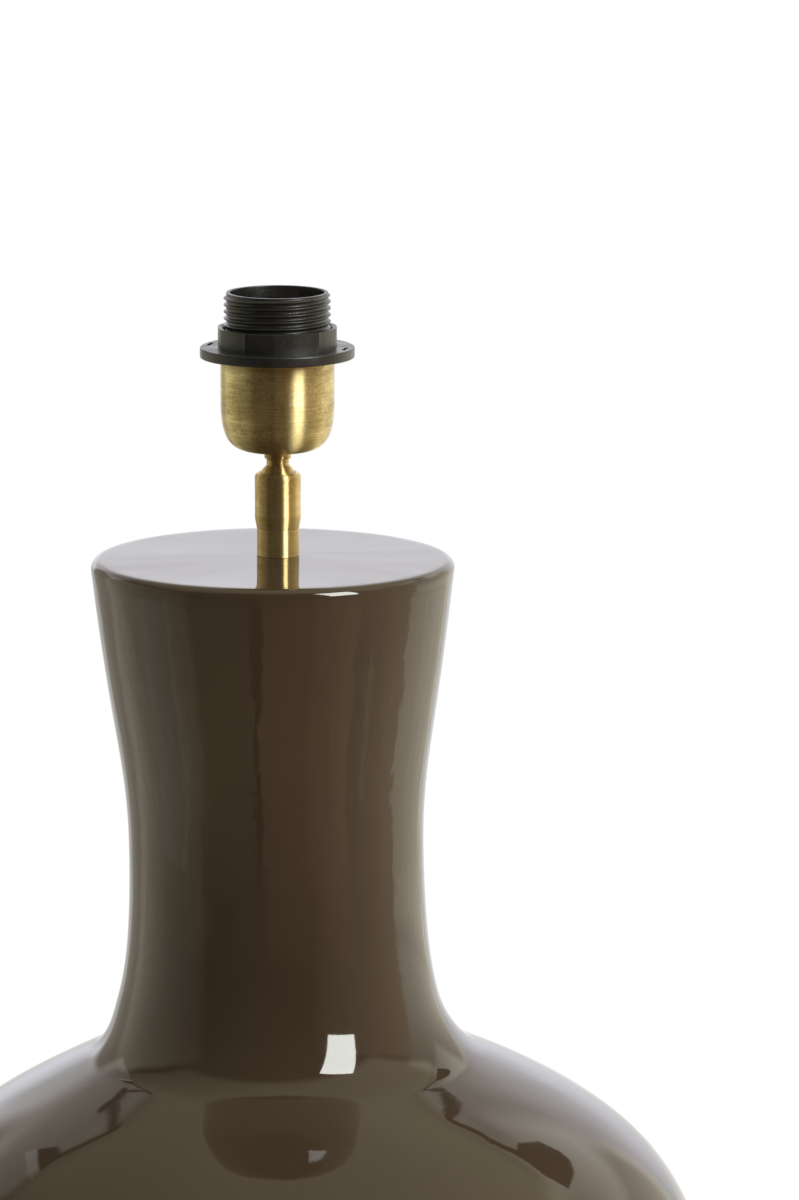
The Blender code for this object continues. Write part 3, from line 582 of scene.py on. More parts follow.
def felt_material():
    """Pressed felt: matted fibres of uneven shade."""
    dark, pale, patch_colour = (rgb(r, g, b) for r, g, b in (
        (0.018, 0.017, 0.015), (0.052, 0.049, 0.044), (0.03, 0.028, 0.025),
    ))
    patch_share, bend = 0.4, 0.004
    made, tree, shader, place = new_material(
        "felt", Roughness=0.95, Sheen_Weight=0.35, Sheen_Roughness=0.5,
    )
    inputs = {"Vector": place, "Scale": 260.0, "Detail": 4.0}
    warp = add(tree, "ShaderNodeTexNoise", inputs).outputs["Color"]
    spot = vector(tree, "ADD", place, vector(tree, "SCALE", warp, Scale=bend))
    fibres = clouds(tree, spot, scale=900.0, detail=6.0, roughness=0.75)
    patches = mottle(tree, place, size=0.012, sharpness=0.3)
    shade = mixed(tree, ramp(tree, fibres, 0.3, 0.7), dark, pale)
    shade = mixed(tree, times(tree, patches, patch_share), shade, patch_colour)
    feed(tree, shader, Base_Color=shade, Normal=bump(tree, fibres, depth=0.0005))
    return made


def porcelain_material():
    """Pressed, unglazed porcelain, with fine grain and a few grey marks."""
    pale, dark = rgb(0.80, 0.785, 0.75), rgb(0.70, 0.685, 0.65)
    mark, mark_share = rgb(0.35, 0.33, 0.30), 0.5
    made, tree, shader, place = new_material("porcelain", IOR=1.5)
    cloud = mottle(tree, place, size=0.004, sharpness=0.3)
    shade = mixed(tree, cloud, pale, dark)
    marks = specks(tree, place, spacing=0.0018, share=0.15)
    shade = mixed(tree, times(tree, marks, mark_share), shade, mark)
    normal = bump(tree, grain(tree, place, size=0.0003), depth=0.00003)
    roughness = ramp(tree, cloud, 0.0, 1.0, 0.35, 0.5)
    feed(tree, shader, Base_Color=shade, Roughness=roughness, Normal=normal)
    return made


# Places and sizes of two small pits in the cup
CUP_PITS = (((-0.0180, -0.0114, 0.4562), 0.00045), ((-0.0154, -0.0146, 0.4508), 0.00040))

MATERIALS = {
    "glaze": glaze_material(),
    "turned_brass": metal_material(
        "turned_brass", (0.70, 0.54, 0.25), (0.50, 0.34, 0.12), (0.32, 0.38),
        width=0.00040, runs=1.2, depth=0.0000003, spread=1.0, wear=0.25,
    ),
    "brushed_brass": metal_material(
        "brushed_brass", (0.74, 0.62, 0.33), (0.46, 0.35, 0.14), (0.32, 0.42),
        width=0.00050, runs=2.5, depth=0.000016, spread=1.0, streaks=0.7, pits=CUP_PITS,
    ),
    "contact_brass": metal_material(
        "contact_brass", (0.82, 0.64, 0.32), (0.66, 0.48, 0.22), (0.16, 0.26),
        width=0.0005, runs=3.0, depth=0.000008, spread=0.3,
    ),
    "zinc_steel": metal_material(
        "zinc_steel", (0.62, 0.62, 0.61), (0.46, 0.46, 0.45), (0.26, 0.38),
        width=0.0003, runs=4.0, depth=0.00001, spread=0.3, wear=0.4,
    ),
    "black_plastic": moulded_material(
        "black_plastic", (0.0150, 0.0147, 0.0133), (0.038, 0.037, 0.033), (0.28, 0.36),
        skin=0.0010, depth=0.00012,
    ),
    "grommet_rubber": moulded_material(
        "grommet_rubber", (0.018, 0.018, 0.018), (0.05, 0.05, 0.05), (0.6, 0.75),
        skin=0.0003, depth=0.00003, dust=0.3,
    ),
    "nylon": moulded_material(
        "nylon", (0.72, 0.71, 0.66), (0.82, 0.81, 0.78), (0.4, 0.52),
        skin=0.0005, depth=0.00002, dust=0.05,
    ),
    "felt": felt_material(),
    "porcelain": porcelain_material(),
}


def dress(item, slot):
    """Gives a piece its material and the record's slot."""
    item.data.materials.clear()
    item.data.materials.append(MATERIALS[slot])


def stand_for(item, node, body, slot):
    """A detailed piece in the place of a solid."""
    dress(item, slot)
    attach(item, body)
    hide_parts(node)


# Vase


def vase_side():
    """The outside of the vase from the top disc down to the foot, in its own heights."""
    points = arc((TOP_RADIUS - RIM_ROUND, VASE_HEIGHT - RIM_ROUND), RIM_ROUND, 90, 0, RIM_STEPS)
    waist, throat, belly = (
        (radius, VASE_HEIGHT - share * VASE_HEIGHT) for radius, share in (WAIST, THROAT, BELLY)
    )
    rim, band, down = points[-1], (FOOT_RADIUS, FOOT_BAND), (0, -1)
    throat_way = (math.sin(THROAT_ANGLE), -math.cos(THROAT_ANGLE))
    foot_way = (math.sin(FOOT_ANGLE), -math.cos(FOOT_ANGLE))
    spans = (
        (rim, (NECK_SLOPE, -1), waist, down, rim[1] - waist[1]),
        (waist, down, throat, throat_way, waist[1] - throat[1]),
        (throat, throat_way, belly, down, math.dist(throat, belly)),
        (belly, down, band, foot_way, math.dist(belly, band)),
    )
    for (start, way, end, end_way, run), (reach, end_reach, steps) in zip(spans, CURVES):
        handles = along(start, way, reach * run), along(end, end_way, -end_reach * run)
        points += curve(start, *handles, end, steps)
    return points


def vase_offset(radius, height):
    """How far the body strays sideways at a height, and less so round the tube's hole."""
    share = height / VASE_HEIGHT
    held = smooth_step(*STRAIGHT_FOOT, share) * smooth_step(*STRAIGHT_HOLE, radius)
    across = DISC_OFFSET[0] + (NECK_OFFSET - DISC_OFFSET[0]) * smooth_step(*NECK_STRAY, share)
    across += (SHOULDER_OFFSET - NECK_OFFSET) * smooth_step(*SHOULDER_STRAY, share)
    back = DISC_OFFSET[1] * smooth_step(*FRONT_STRAY, share)
    return across * held, back * held


def unevenness(x, y, z):
    """How far the thrown and glazed surface stands out at a place."""
    total = 0
    for across, up, shift, share in SURFACE_WAVES:
        total += share * noise.noise(Vector((x * across, y * across, z * up)) + Vector(shift))
    return UNEVENNESS * total


def vase_outline():
    """The outline of the body's wall, and how many of its points are the uneven outside."""
    side = vase_side()
    ceiling, floor = VASE_HEIGHT - VASE_WALL, RECESS_DEPTH + VASE_WALL
    recess, foot_round, recess_round = FOOT_RADIUS - FOOT_WIDTH, 0.0012, 0.0008
    disc = [(radius, VASE_HEIGHT) for radius in (TUBE_HOLE, 0.010, 0.022, 0.040, 0.055, 0.062)]
    foot = [(FOOT_RADIUS, height) for height in (0.012, 0.007, 0.003, 0.0014)]
    foot += arc((FOOT_RADIUS - foot_round, foot_round), foot_round, 0, -90, 5)[1:]
    foot += [(recess + 0.002, 0), (recess + recess_round, 0), (recess, recess_round)]
    foot += [(recess, 0.003), (recess, RECESS_DEPTH), (TUBE_HOLE, RECESS_DEPTH)]
    inner = inset(side[RIM_STEPS:], VASE_WALL)[::INNER_STRIDE]
    inner = [point for point in inner if floor + VASE_WALL < point[1] < ceiling - VASE_WALL]
    inside = [(TUBE_HOLE, floor), (FOOT_RADIUS - VASE_WALL, floor)] + inner[::-1]
    inside += [(inner[0][0] - VASE_WALL / 2, ceiling), (TUBE_HOLE, ceiling)]
    return disc + side + foot + inside, len(disc) + len(side)


def make_vase():
    """The glazed body, uneven as a hand-made one is, with the inlet for the cord cut in its foot."""
    outline, outer = vase_outline()
    points, faces = [], []
    for index, (radius, height) in enumerate(outline):
        before, after = outline[index - 1], outline[(index + 1) % len(outline)]
        run = (after[0] - before[0], after[1] - before[1])
        length = math.hypot(*run)
        out = (-run[1] / length, run[0] / length)
        across, back = vase_offset(radius, height)
        for step in range(VASE_STEPS):
            angle = math.tau * step / VASE_STEPS
            x, y = radius * math.cos(angle), radius * math.sin(angle)
            lift = 0.0
            if index < outer:
                lift = unevenness(x, y, height) * smooth_step(*EVEN_FOOT, height)
                lift *= smooth_step(*EVEN_HOLE, radius)
            r = radius + out[0] * lift
            points.append((
                r * math.cos(angle) + across, r * math.sin(angle) + back,
                FOOT_Z + height + out[1] * lift,
            ))
        faces += bridged(index, (index + 1) % len(outline), VASE_STEPS)
    vase = add_mesh("glazed_vase", points, faces)
    inlet, start, end = 0.005, 0.060, 0.080
    tool = revolved("inlet_tool", [(0, start), (inlet, start), (inlet, end), (0, end)], SMALL_STEPS)
    lay_back(tool, 0, FOOT_Z + RECESS_DEPTH / 2)
    cut(vase, [tool])
    stand_for(vase, "vase_body", "vase", "glaze")


def make_foot_pieces():
    """The felt pad and the cord's grommet."""
    edge_round, fuzz, fuzz_across, fuzz_up, fuzz_start = 0.0006, 0.00018, 22, 900, 0.98
    low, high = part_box("felt_pad")
    radius = high.x
    outline = [(0, low.z), (radius, low.z), (radius, high.z), (0, high.z)]
    outline = softened(outline, edge_round, closed=False)
    outline = [outline[0], (radius / 2, low.z)] + outline[1:-1] + [(radius / 2, high.z), outline[-1]]

    def fuzzy(index, r, z, angle):
        spot = (math.cos(angle) * fuzz_across, math.sin(angle) * fuzz_across, z * fuzz_up)
        rough = noise.noise(Vector(spot))
        return r - (fuzz + fuzz * rough) * smooth_step(radius * fuzz_start, radius, r), z

    felt = revolved("felt_pad_soft", outline, VASE_STEPS, fuzzy)
    stand_for(felt, "felt_pad", "vase", "felt")

    low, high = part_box("cord_grommet")
    flange, neck, bore = (high.x - low.x) / 2, 0.0047, 0.0034
    seat, end = FOOT_WIDTH + SOLID_GAP, high.y - low.y
    outline = [(bore, 0), (neck, 0), (neck, seat), (flange, seat), (flange, end), (bore, end)]
    grommet = revolved("cord_grommet_fine", softened(outline, edge_round, count=5), SMALL_STEPS)
    lay_back(grommet, low.y, (low.z + high.z) / 2)
    stand_for(grommet, "cord_grommet", "vase", "grommet_rubber")


# Ball joint


def make_joint():
    """The collar, the housing and the ball with its stem, all turned from brass."""
    low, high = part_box("joint_base")
    collar, spigot, bore, step_z = high.x, 0.0069, 0.0034, low.z + 0.0088
    foot, top = DISC_Z + TIGHT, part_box("joint_housing")[0].z - TIGHT
    outline = [
        (TUBE_HOLE, foot), (collar, foot), (collar, top), (spigot, top), (spigot, high.z),
        (bore, high.z), (bore, step_z), (TUBE_HOLE, step_z),
    ]
    base = revolved("brass_collar", softened(outline, 0.0001), PIECE_STEPS)
    stand_for(base, "joint_base", "vase", "turned_brass")

    low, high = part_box("joint_housing")
    outer, socket, ball_drop, edge_round = high.x, 0.0072, 0.0027, 0.0017
    lip = math.sqrt(socket**2 - ball_drop**2)
    lip_angle = math.degrees(math.asin(ball_drop / socket))
    outline = softened(
        [(socket, low.z), (collar, low.z), (outer, low.z + 0.0038), (outer, low.z + 0.006)],
        0.00012, closed=False,
    )
    outline += [(outer, low.z + 0.012)]
    outline += arc((outer - edge_round, high.z - edge_round), edge_round, 0, 90, 10)
    outline += [(lip + 0.0003, high.z), (lip, high.z - 0.0002)]
    outline += arc((0, high.z - ball_drop), socket, lip_angle - 3, 0, 8)
    housing = revolved("brass_housing", outline, PIECE_STEPS)
    stand_for(housing, "joint_housing", "vase", "turned_brass")

    low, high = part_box("ball_stem")
    ball_z, ball, neck, flange, bore, stud = 0.4291, 0.0069, 0.0042, 0.0050, 0.00275, 0.0040
    neck_top, flange_top, fillet, chamfer = ball_z + 0.0078, ball_z + 0.0103, 0.0012, 0.0004
    outline = arc((0, ball_z), ball, -math.degrees(math.acos(bore / ball)), 48, 30)
    start, z = outline[-1]
    handles = (start - fillet / 2, z + fillet / 2), (neck, z + fillet / 4)
    outline += curve((start, z), *handles, (neck, z + fillet), 8)
    outline += softened(
        [
            (neck, neck_top - fillet), (neck, neck_top), (flange - chamfer, neck_top),
            (flange, neck_top + 0.0005), (flange, flange_top), (stud, flange_top),
            (stud, high.z), (bore, high.z), (bore, high.z - 0.002),
        ],
        0.0003, closed=False,
    )
    stem = revolved("ball_stem_fine", outline, PIECE_STEPS)
    stand_for(stem, "ball_stem", "holder", "turned_brass")


# Holder


def make_cup():
    """The spun and brushed cup, whose side bends in one curve into a small flat bottom."""
    low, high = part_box("brass_cup")
    radius, hole, wall, bend, flat = high.x, 0.0043, 0.0008, 0.0195, 0.0058
    side_reach, flat_reach, rows, steps = 0.846, 0.725, 10, 40
    side = (radius, low.z + bend)
    outer = [(radius, high.z - row / rows * (high.z - side[1])) for row in range(rows)] + [side]
    outer += curve(
        side,
        (radius, low.z + bend * (1 - side_reach)),
        (flat + flat_reach * (radius - flat), low.z),
        (flat, low.z), steps,
    )
    outer += [(hole, low.z)]
    inner = inset(outer, wall)[::-1]
    top = [(radius - wall, high.z - 0.0002), (radius - wall / 2, high.z)]
    cup = revolved("brushed_cup", outer + [(hole, low.z + wall)] + inner + top, PIECE_STEPS)
    stand_for(cup, "brass_cup", "holder", "brushed_brass")


def crest(turns, width):
    """The height of a rounded thread crest, from 0 to 1, at a place counted in turns."""
    away = abs(turns - math.floor(turns) - 0.5)
    return 0.5 + 0.5 * math.cos(math.pi * away / width) if away < width else 0.0


def make_barrel():
    """The moulded barrel with its thread, which runs out below the lip."""
    low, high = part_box("barrel")
    skirt, root, bore, depth, pitch, width = high.x, 0.01895, 0.0176, 0.00105, 0.0025, 0.40
    edge, run_out, run_in, rows = 0.0003, (0.0004, 0.0014), 0.0012, 190
    step_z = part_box("brass_cup")[1].z
    outline = [(bore, low.z), (skirt, low.z), (skirt, step_z), (root, step_z)]
    outline = softened(outline, edge, closed=False)
    first = len(outline)
    run = high.z - step_z
    outline += [(root, step_z + run * (row + 1) / (rows + 3)) for row in range(rows)]
    last = len(outline)
    lip = [(root, high.z - edge), (root, high.z), (bore, high.z), (bore, high.z - 0.002)]
    outline += softened(lip, edge, closed=False)
    outline += [(bore, high.z - 0.010), (bore, high.z - 0.020), (bore, low.z + 0.004)]

    def threaded(index, radius, height, angle):
        if not first <= index < last:
            return radius, height
        turns = (height - step_z) / pitch - angle / math.tau
        fade = smooth_step(high.z - run_out[0], high.z - run_out[1], height)
        fade *= smooth_step(step_z, step_z + run_in, height)
        return radius + depth * fade * crest(turns, width), height

    barrel = revolved("threaded_barrel", outline, THREAD_STEPS, threaded)
    stand_for(barrel, "barrel", "holder", "black_plastic")


# Where the flats of the grip meet and where it has ribs, in degrees round from the front
GRIP_CORNERS = (44, 76, 106, 136, 166, 196, 226, 256, 292, 329, 358)
GRIP_RIBS = (44, 329)
FLATNESS_SHARE = 0.35
RIB_DEGREES = 1.6
RIB_HEIGHT = 0.00014
# The slots in the flange: size, place across it, and turn
SLOT_SIZE = (0.0014, 0.0065, 0.0024)
SLOT_SHARE = 0.67
SLOT_TURN = math.radians(-14)


def make_shade_ring():
    """The ring that clamps a shade, with its many-sided grip and two slots in its flange."""
    low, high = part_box("shade_ring")
    bore, flange, thick, corner = 0.0203, 0.02885, 0.0039, 0.0225
    edge, grip_edge, chamfer, rows = 0.0006, 0.0004, 0.00012, 5
    shoulder, top = low.z + thick, high.z
    flange_part = [(bore, low.z), (flange, low.z), (flange, shoulder), (corner + edge, shoulder)]
    flange_part = softened(flange_part, edge, closed=False)
    foot, rise = shoulder + grip_edge, top - shoulder - 2 * grip_edge
    grip_part = [(corner, shoulder)] + [(corner, foot + rise * row / rows) for row in range(rows + 1)]
    grip_part += [(corner, top - chamfer), (corner - chamfer, top), (corner - edge, top)]
    bore_part = [(bore + 0.0008, top), (bore + 0.0006, top - 0.0001), (bore + 0.0001, top - 0.0008)]
    bore_part += [(bore, top - 0.0012), (bore, top - 0.004), (bore, low.z + 0.0012)]
    outline = flange_part + grip_part + bore_part
    first, last = len(flange_part) - 1, len(flange_part) + len(grip_part)

    def sided(index, radius, height, angle):
        if not first <= index < last:
            return radius, height
        place = (math.degrees(angle) + 90) % 360
        start = max((c for c in GRIP_CORNERS if c <= place), default=GRIP_CORNERS[-1] - 360)
        end = min((c for c in GRIP_CORNERS if c > place), default=GRIP_CORNERS[0] + 360)
        half = math.radians(end - start) / 2
        away = math.radians(place - start) - half
        side = corner * math.cos(half) / math.cos(away)
        side = corner - FLATNESS_SHARE * (corner - side)
        rib = max(
            smooth_step(RIB_DEGREES, RIB_DEGREES / 2, abs((place - spot + 180) % 360 - 180))
            for spot in GRIP_RIBS
        )
        return side + rib * RIB_HEIGHT + (radius - corner), height

    ring = revolved("shade_ring_fine", outline, RING_STEPS, sided)
    place = (bore + SLOT_SHARE * (flange - bore), 0, shoulder)
    turns = (SLOT_TURN, SLOT_TURN + math.pi)
    cut(ring, [box_tool("slot_tool", SLOT_SIZE, place, turn) for turn in turns])
    stand_for(ring, "shade_ring", "ring", "black_plastic")


def make_socket():
    """The sleeve, screw shell, insulator and side contact inside the barrel."""
    low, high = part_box("shell_sleeve")
    bore, outer, chamfer, edge = 0.0147, high.x, 0.0012, 0.0003
    outline = [(bore, low.z), (outer, low.z), (outer, high.z)]
    outline += [(bore + chamfer, high.z), (bore, high.z - chamfer)]
    sleeve = revolved("socket_sleeve", softened(outline, edge), PIECE_STEPS)
    stand_for(sleeve, "shell_sleeve", "holder", "black_plastic")

    low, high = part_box("screw_shell")
    root, depth, wall, pitch, flare, rows = 0.0134, 0.0009, 0.00045, 0.003629, 0.0012, 110
    heights = [low.z + (high.z - low.z) * row / rows for row in range(rows + 1)]
    outline = [(root, z) for z in heights] + [(root - wall, z) for z in heights[::-1]]

    def rolled(index, radius, height, angle):
        turns = (height - low.z) / pitch - angle / math.tau
        wave = 0.5 - 0.5 * math.cos(math.tau * turns)
        ends = smooth_step(high.z, high.z - flare, height)
        return radius + depth * (wave * ends + (1 - ends)), height

    shell = revolved("screw_shell_fine", outline, PIECE_STEPS, rolled)
    stand_for(shell, "screw_shell", "holder", "contact_brass")

    low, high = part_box("contact_insulator")
    bore = 0.002
    outline = [(bore, low.z), (high.x, low.z), (high.x, high.z), (bore, high.z)]
    insulator = revolved("contact_disc", softened(outline, 0.0004), PIECE_STEPS)
    stand_for(insulator, "contact_insulator", "holder", "porcelain")

    low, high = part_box("side_contact")
    bore = high.x - 0.0013
    outline = [(bore, low.z), (high.x, low.z), (high.x, high.z), (bore, high.z)]
    side = revolved("side_contact_fine", softened(outline, edge), PIECE_STEPS)
    stand_for(side, "side_contact", "holder", "contact_brass")


def make_centre_contact():
    """The springy tongue, bent from strip, with thinned edges and a narrowed tip."""
    low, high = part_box("centre_contact")
    thick, rise, width, foot, tip = 0.0006, 0.0032, high.y - low.y, 0.00285, 0.00285
    thinned, tip_reach, tip_share = 0.00012, 0.0022, 0.45
    bend_x, crest_x, crest_z = low.x + foot, high.x - tip, low.z + rise
    spine = [(low.x, low.z), (low.x + foot * 0.5, low.z), (bend_x - 0.0006, low.z)]
    spine += curve(spine[-1], (bend_x, low.z), (bend_x, low.z), (bend_x + 0.0008, low.z + 0.00032), 5)
    spine += curve(
        spine[-1], (bend_x + 0.004, low.z + 0.0016), (crest_x - 0.0015, crest_z - 0.0006),
        (crest_x - 0.0007, crest_z - 0.00028), 10,
    )
    crest_spot = (crest_x, crest_z)
    spine += curve(spine[-1], crest_spot, crest_spot, (crest_x + 0.0006, crest_z - 0.0003), 8)
    spine += [(crest_x + tip * 0.6, crest_z - 0.0009), (high.x, low.z + rise / 2)]
    lanes = (-0.5, -0.46, -0.3, -0.1, 0.1, 0.3, 0.46, 0.5)
    across = 2 * len(lanes)
    points, faces = [], []
    for row, (x, z) in enumerate(spine):
        narrow = 1 - tip_share * smooth_step(high.x - tip_reach, high.x, x) ** 2
        for side_lanes, face_z, way in ((lanes, z, 1), (lanes[::-1], z + thick, -1)):
            for lane in side_lanes:
                edge = thinned if abs(lane) == 0.5 else 0.0
                points.append((x, lane * width * narrow, face_z + way * edge))
        if row:
            faces += bridged(row - 1, row, across)
    faces += [tuple(range(across)), tuple(range(len(points) - across, len(points)))]
    tongue = add_mesh("contact_tongue", points, faces)
    stand_for(tongue, "centre_contact", "contact", "contact_brass")


def dress_hidden_solids():
    """Materials for the solids that are shown as they are."""
    kept = {
        "zinc_steel": (
            "threaded_tube", "bottom_plate", "lock_washer", "hex_nut", "spring_washer",
            "entry_bush", "grub_screw", "terminal_screw_1", "terminal_screw_2",
        ),
        "nylon": ("friction_seat",),
        "black_plastic": ("holder_base",),
    }
    for slot, nodes in kept.items():
        for node in nodes:
            dress(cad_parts[node], slot)


# Studio


# What stands round the lamp, as left, right, bottom, top, softness, light at the left and at the
# right, share of it at the top, and tint. First by direction, in degrees from the camera's side.
ROUND_CARDS = (
    (-131, -56, -70, 30, 5, 1.11, 0.18, 0.85, (1.0, 0.97, 0.75)),
    (-100, -73, -70, -16, 1.0, 0.12, 0.20, 1.0, (0.84, 1.0, 0.80)),
    (-75, -14, -60, -7, 2, 0.61, 0.39, 0.1, (1.0, 0.78, 0.48)),
    (-158, -131, -70, 26, 5, 0.55, 0.60, 1.0, (1.0, 0.93, 0.78)),
    (-7, 60, -60, -4, 1.2, 0.64, 0.66, 0.1, (1.0, 0.60, 0.34)),
    (28, 104, -70, 34, 3, 0.06, 1.22, 0.68, (1.0, 0.82, 0.56)),
    (72, 75.5, -60, -27, 0.7, 0.26, 0.26, 1.0, (1.0, 0.90, 0.66)),
    (-73.6, -72.2, -60, -34, 0.4, 0.20, 0.20, 1.0, (0.90, 1.0, 0.80)),
    (104, 128, -70, -10, 2, 1.60, 1.50, 0.95, (1.0, 0.93, 0.74)),
    (128, 153, -70, -10, 2, 1.42, 1.14, 0.95, (1.0, 0.95, 0.77)),
    (104, 153, -10, 40, 3, 1.55, 1.40, 0.42, (1.0, 0.95, 0.80)),
)
# The wall behind, by the slopes x/y and z/y
WALL_CARDS = (
    (-0.47, 0.52, -3.00, -0.06, 0.10, 0.88, 1.66, 0.75, (1.0, 0.99, 0.97)),
    (-0.47, 0.52, -0.06, 0.16, 0.10, 1.32, 1.12, 1.28, (1.0, 1.01, 1.09)),
    (-0.47, 0.54, 0.16, 0.50, 0.10, 1.24, 1.34, 0.95, (1.0, 0.99, 1.03)),
    (0.02, 1.30, 0.50, 1.19, 0.10, 1.45, 0.50, 0.65, (1.0, 0.97, 0.91)),
    (-1.40, 0.02, 0.50, 1.19, 0.10, 0.75, 0.88, 0.7, (1.0, 0.95, 0.88)),
)
# The scrim overhead, by the slopes x/z and y/z
SCRIM_CARDS = ((-1.35, 1.35, -0.48, 0.84, 0.16, 0.28, 1.10, 1.0, (1.0, 0.94, 0.67)),)
# Thin seams and a dark stand that show in the neck, by direction: left, right, bottom, top and the
# share of light left
ROUND_SHADES = (
    (42.4, 43.1, -60, -19, 0.72), (44.8, 45.7, -60, -19, 0.72), (30.5, 32.0, -12, 5, 0.45),
    (-48, -30, -12, 28, 0.25),
)
SHADE_SOFTNESS = 0.3
# The stands that hold the scrim's edge on the right and on the left: corners in the scrim's slopes
STANDS = (
    ((0.435, 0.815), (0.570, 0.825), (0.570, 0.860), (0.435, 0.855)),
    ((0.570, 0.825), (0.700, 0.885), (0.700, 0.930), (0.570, 0.860)),
    ((0.432, 0.840), (0.454, 0.840), (0.517, 1.100), (0.497, 1.100)),
    (
        (0.690, 0.880), (0.870, 0.875), (1.070, 0.940), (1.045, 1.160), (1.000, 1.270),
        (0.920, 1.275), (0.800, 1.180), (0.690, 0.985),
    ),
    ((-0.500, 0.775), (-0.500, 0.810), (-0.720, 0.855), (-0.720, 0.815)),
    ((-0.530, 0.790), (-0.510, 0.790), (-0.575, 1.040), (-0.593, 1.040)),
    ((-0.570, 1.030), (-0.598, 1.010), (-0.625, 1.090), (-0.600, 1.110)),
    ((-0.700, 0.820), (-0.720, 0.950), (-0.830, 1.130), (-0.820, 0.800)),
)
PALE_STANDS = (((-0.820, 0.800), (-0.830, 1.130), (-0.905, 1.190), (-0.905, 0.760)),)
STAND_SOFTNESS = 0.005
STAND_LIGHT = 0.05
PALE_STAND_LIGHT = 1.5
# How high, as z of the direction, the stands and the seams of the scrim's cloth set in
STAND_RISE = (0.30, 0.36)
SEAM_RISE = (0.68, 0.74)
SEAM_TURN = math.radians(12)
SEAM_SHADE = 0.16
# The cards' ragged edges, in degrees: their reach, the lifts between which it sets in, and the turns
# between which it ends towards the back
RAGGED_DEGREES = 15
RAGGED_LIFTS = (8, -6)
RAGGED_TURNS = (112, 150)
HORIZON = 0.001


def patch(tree, spot, corners):
    """How far a spot lies inside an outline whose corners all bend the same way."""
    pairs = list(zip(corners, corners[1:] + corners[:1]))
    side = math.copysign(1, sum(a[0] * b[1] - b[0] * a[1] for a, b in pairs))
    inside = 1.0
    for (x, y), (on_x, on_y) in pairs:
        length = math.hypot(on_x - x, on_y - y)
        inward = (side * (y - on_y) / length, side * (on_x - x) / length, 0)
        reach = vector(tree, "DOT_PRODUCT", spot, inward)
        edge = inward[0] * x + inward[1] * y
        inside = times(tree, inside, ramp(tree, reach, edge - STAND_SOFTNESS, edge + STAND_SOFTNESS))
    return inside


def ragged(tree, turn, lift, across=0.04, up=0.8):
    """The turn with the cards' ragged edges, which the glaze draws out into runs. None at the back."""
    spot = joined(tree, times(tree, turn, across), times(tree, lift, up))
    rag = calc(tree, "SUBTRACT", clouds(tree, spot, 1.0, 3.0, 0.65), 0.5)
    reach = ramp(tree, lift, *RAGGED_LIFTS, 0.0, RAGGED_DEGREES)
    reach = times(tree, reach, ramp(tree, calc(tree, "ABSOLUTE", turn), *RAGGED_TURNS, 1.0, 0.0))
    return calc(tree, "ADD", turn, times(tree, rag, reach))


def card_light(tree, view, *shape):
    """A card's light in a direction, which the view gives as two numbers."""
    return use(tree, "studio_card", dict(zip(CARD, (*view, *shape))))["Light"]


def darkened(tree, total, mask, share):
    """Light that a mask takes a share from."""
    kept = calc(tree, "SUBTRACT", 1.0, times(tree, mask, share))
    return vector(tree, "SCALE", total, Scale=kept)


def make_world():
    """The studio as the lamp sees it: a wall behind, a scrim overhead, cards at the sides."""
    world = bpy.data.worlds.new("studio")
    bpy.context.scene.world = world
    world.use_nodes = True
    tree = world.node_tree
    background = tree.nodes["Background"]
    way = add(tree, "ShaderNodeTexCoord").outputs["Generated"]
    x, y, z = add(tree, "ShaderNodeSeparateXYZ", {0: way}).outputs
    degrees = 180 / math.pi
    turn = times(tree, calc(tree, "ARCTAN2", x, times(tree, y, -1.0)), degrees)
    lift = times(tree, calc(tree, "ARCSINE", z), degrees)
    around = ragged(tree, turn, lift), lift
    behind, above = calc(tree, "MAXIMUM", y, HORIZON), calc(tree, "MAXIMUM", z, HORIZON)
    wall = calc(tree, "DIVIDE", x, behind), calc(tree, "DIVIDE", z, behind)
    scrim = calc(tree, "DIVIDE", x, above), calc(tree, "DIVIDE", y, above)

    total = (0, 0, 0)
    for view, cards in ((around, ROUND_CARDS), (wall, WALL_CARDS), (scrim, SCRIM_CARDS)):
        for *shape, tint in cards:
            lit = vector(tree, "SCALE", tint, Scale=card_light(tree, view, *shape))
            total = vector(tree, "ADD", total, lit)

    for *shape, light in ROUND_SHADES:
        mask = card_light(tree, around, *shape, SHADE_SOFTNESS, 1.0, 1.0, 1.0)
        total = darkened(tree, total, mask, 1 - light)
    spot = joined(tree, *scrim)
    overhead = ramp(tree, z, *STAND_RISE)
    for outlines, light in ((STANDS, STAND_LIGHT), (PALE_STANDS, PALE_STAND_LIGHT)):
        for corners in outlines:
            mask = times(tree, patch(tree, spot, corners), overhead)
            total = darkened(tree, total, mask, 1 - light)

    inputs = {"Vector": spot, "Rotation": (0, 0, SEAM_TURN)}
    inputs = {
        "Vector": add(tree, "ShaderNodeMapping", inputs).outputs[0], "Scale": 1.0,
        "Mortar Size": 0.004, "Mortar Smooth": 1.0, "Brick Width": 0.31, "Row Height": 0.23,
    }
    seams = add(tree, "ShaderNodeTexBrick", inputs, offset=0.0).outputs["Fac"]
    total = darkened(tree, total, seams, times(tree, ramp(tree, z, *SEAM_RISE), SEAM_SHADE))

    seen = add(tree, "ShaderNodeLightPath").outputs["Is Camera Ray"]
    tree.links.new(mixed(tree, seen, total, rgb(1, 1, 1)), background.inputs["Color"])
    background.inputs["Strength"].default_value = 1.0


LAMP_TARGET = Vector((0, 0, 0.34))


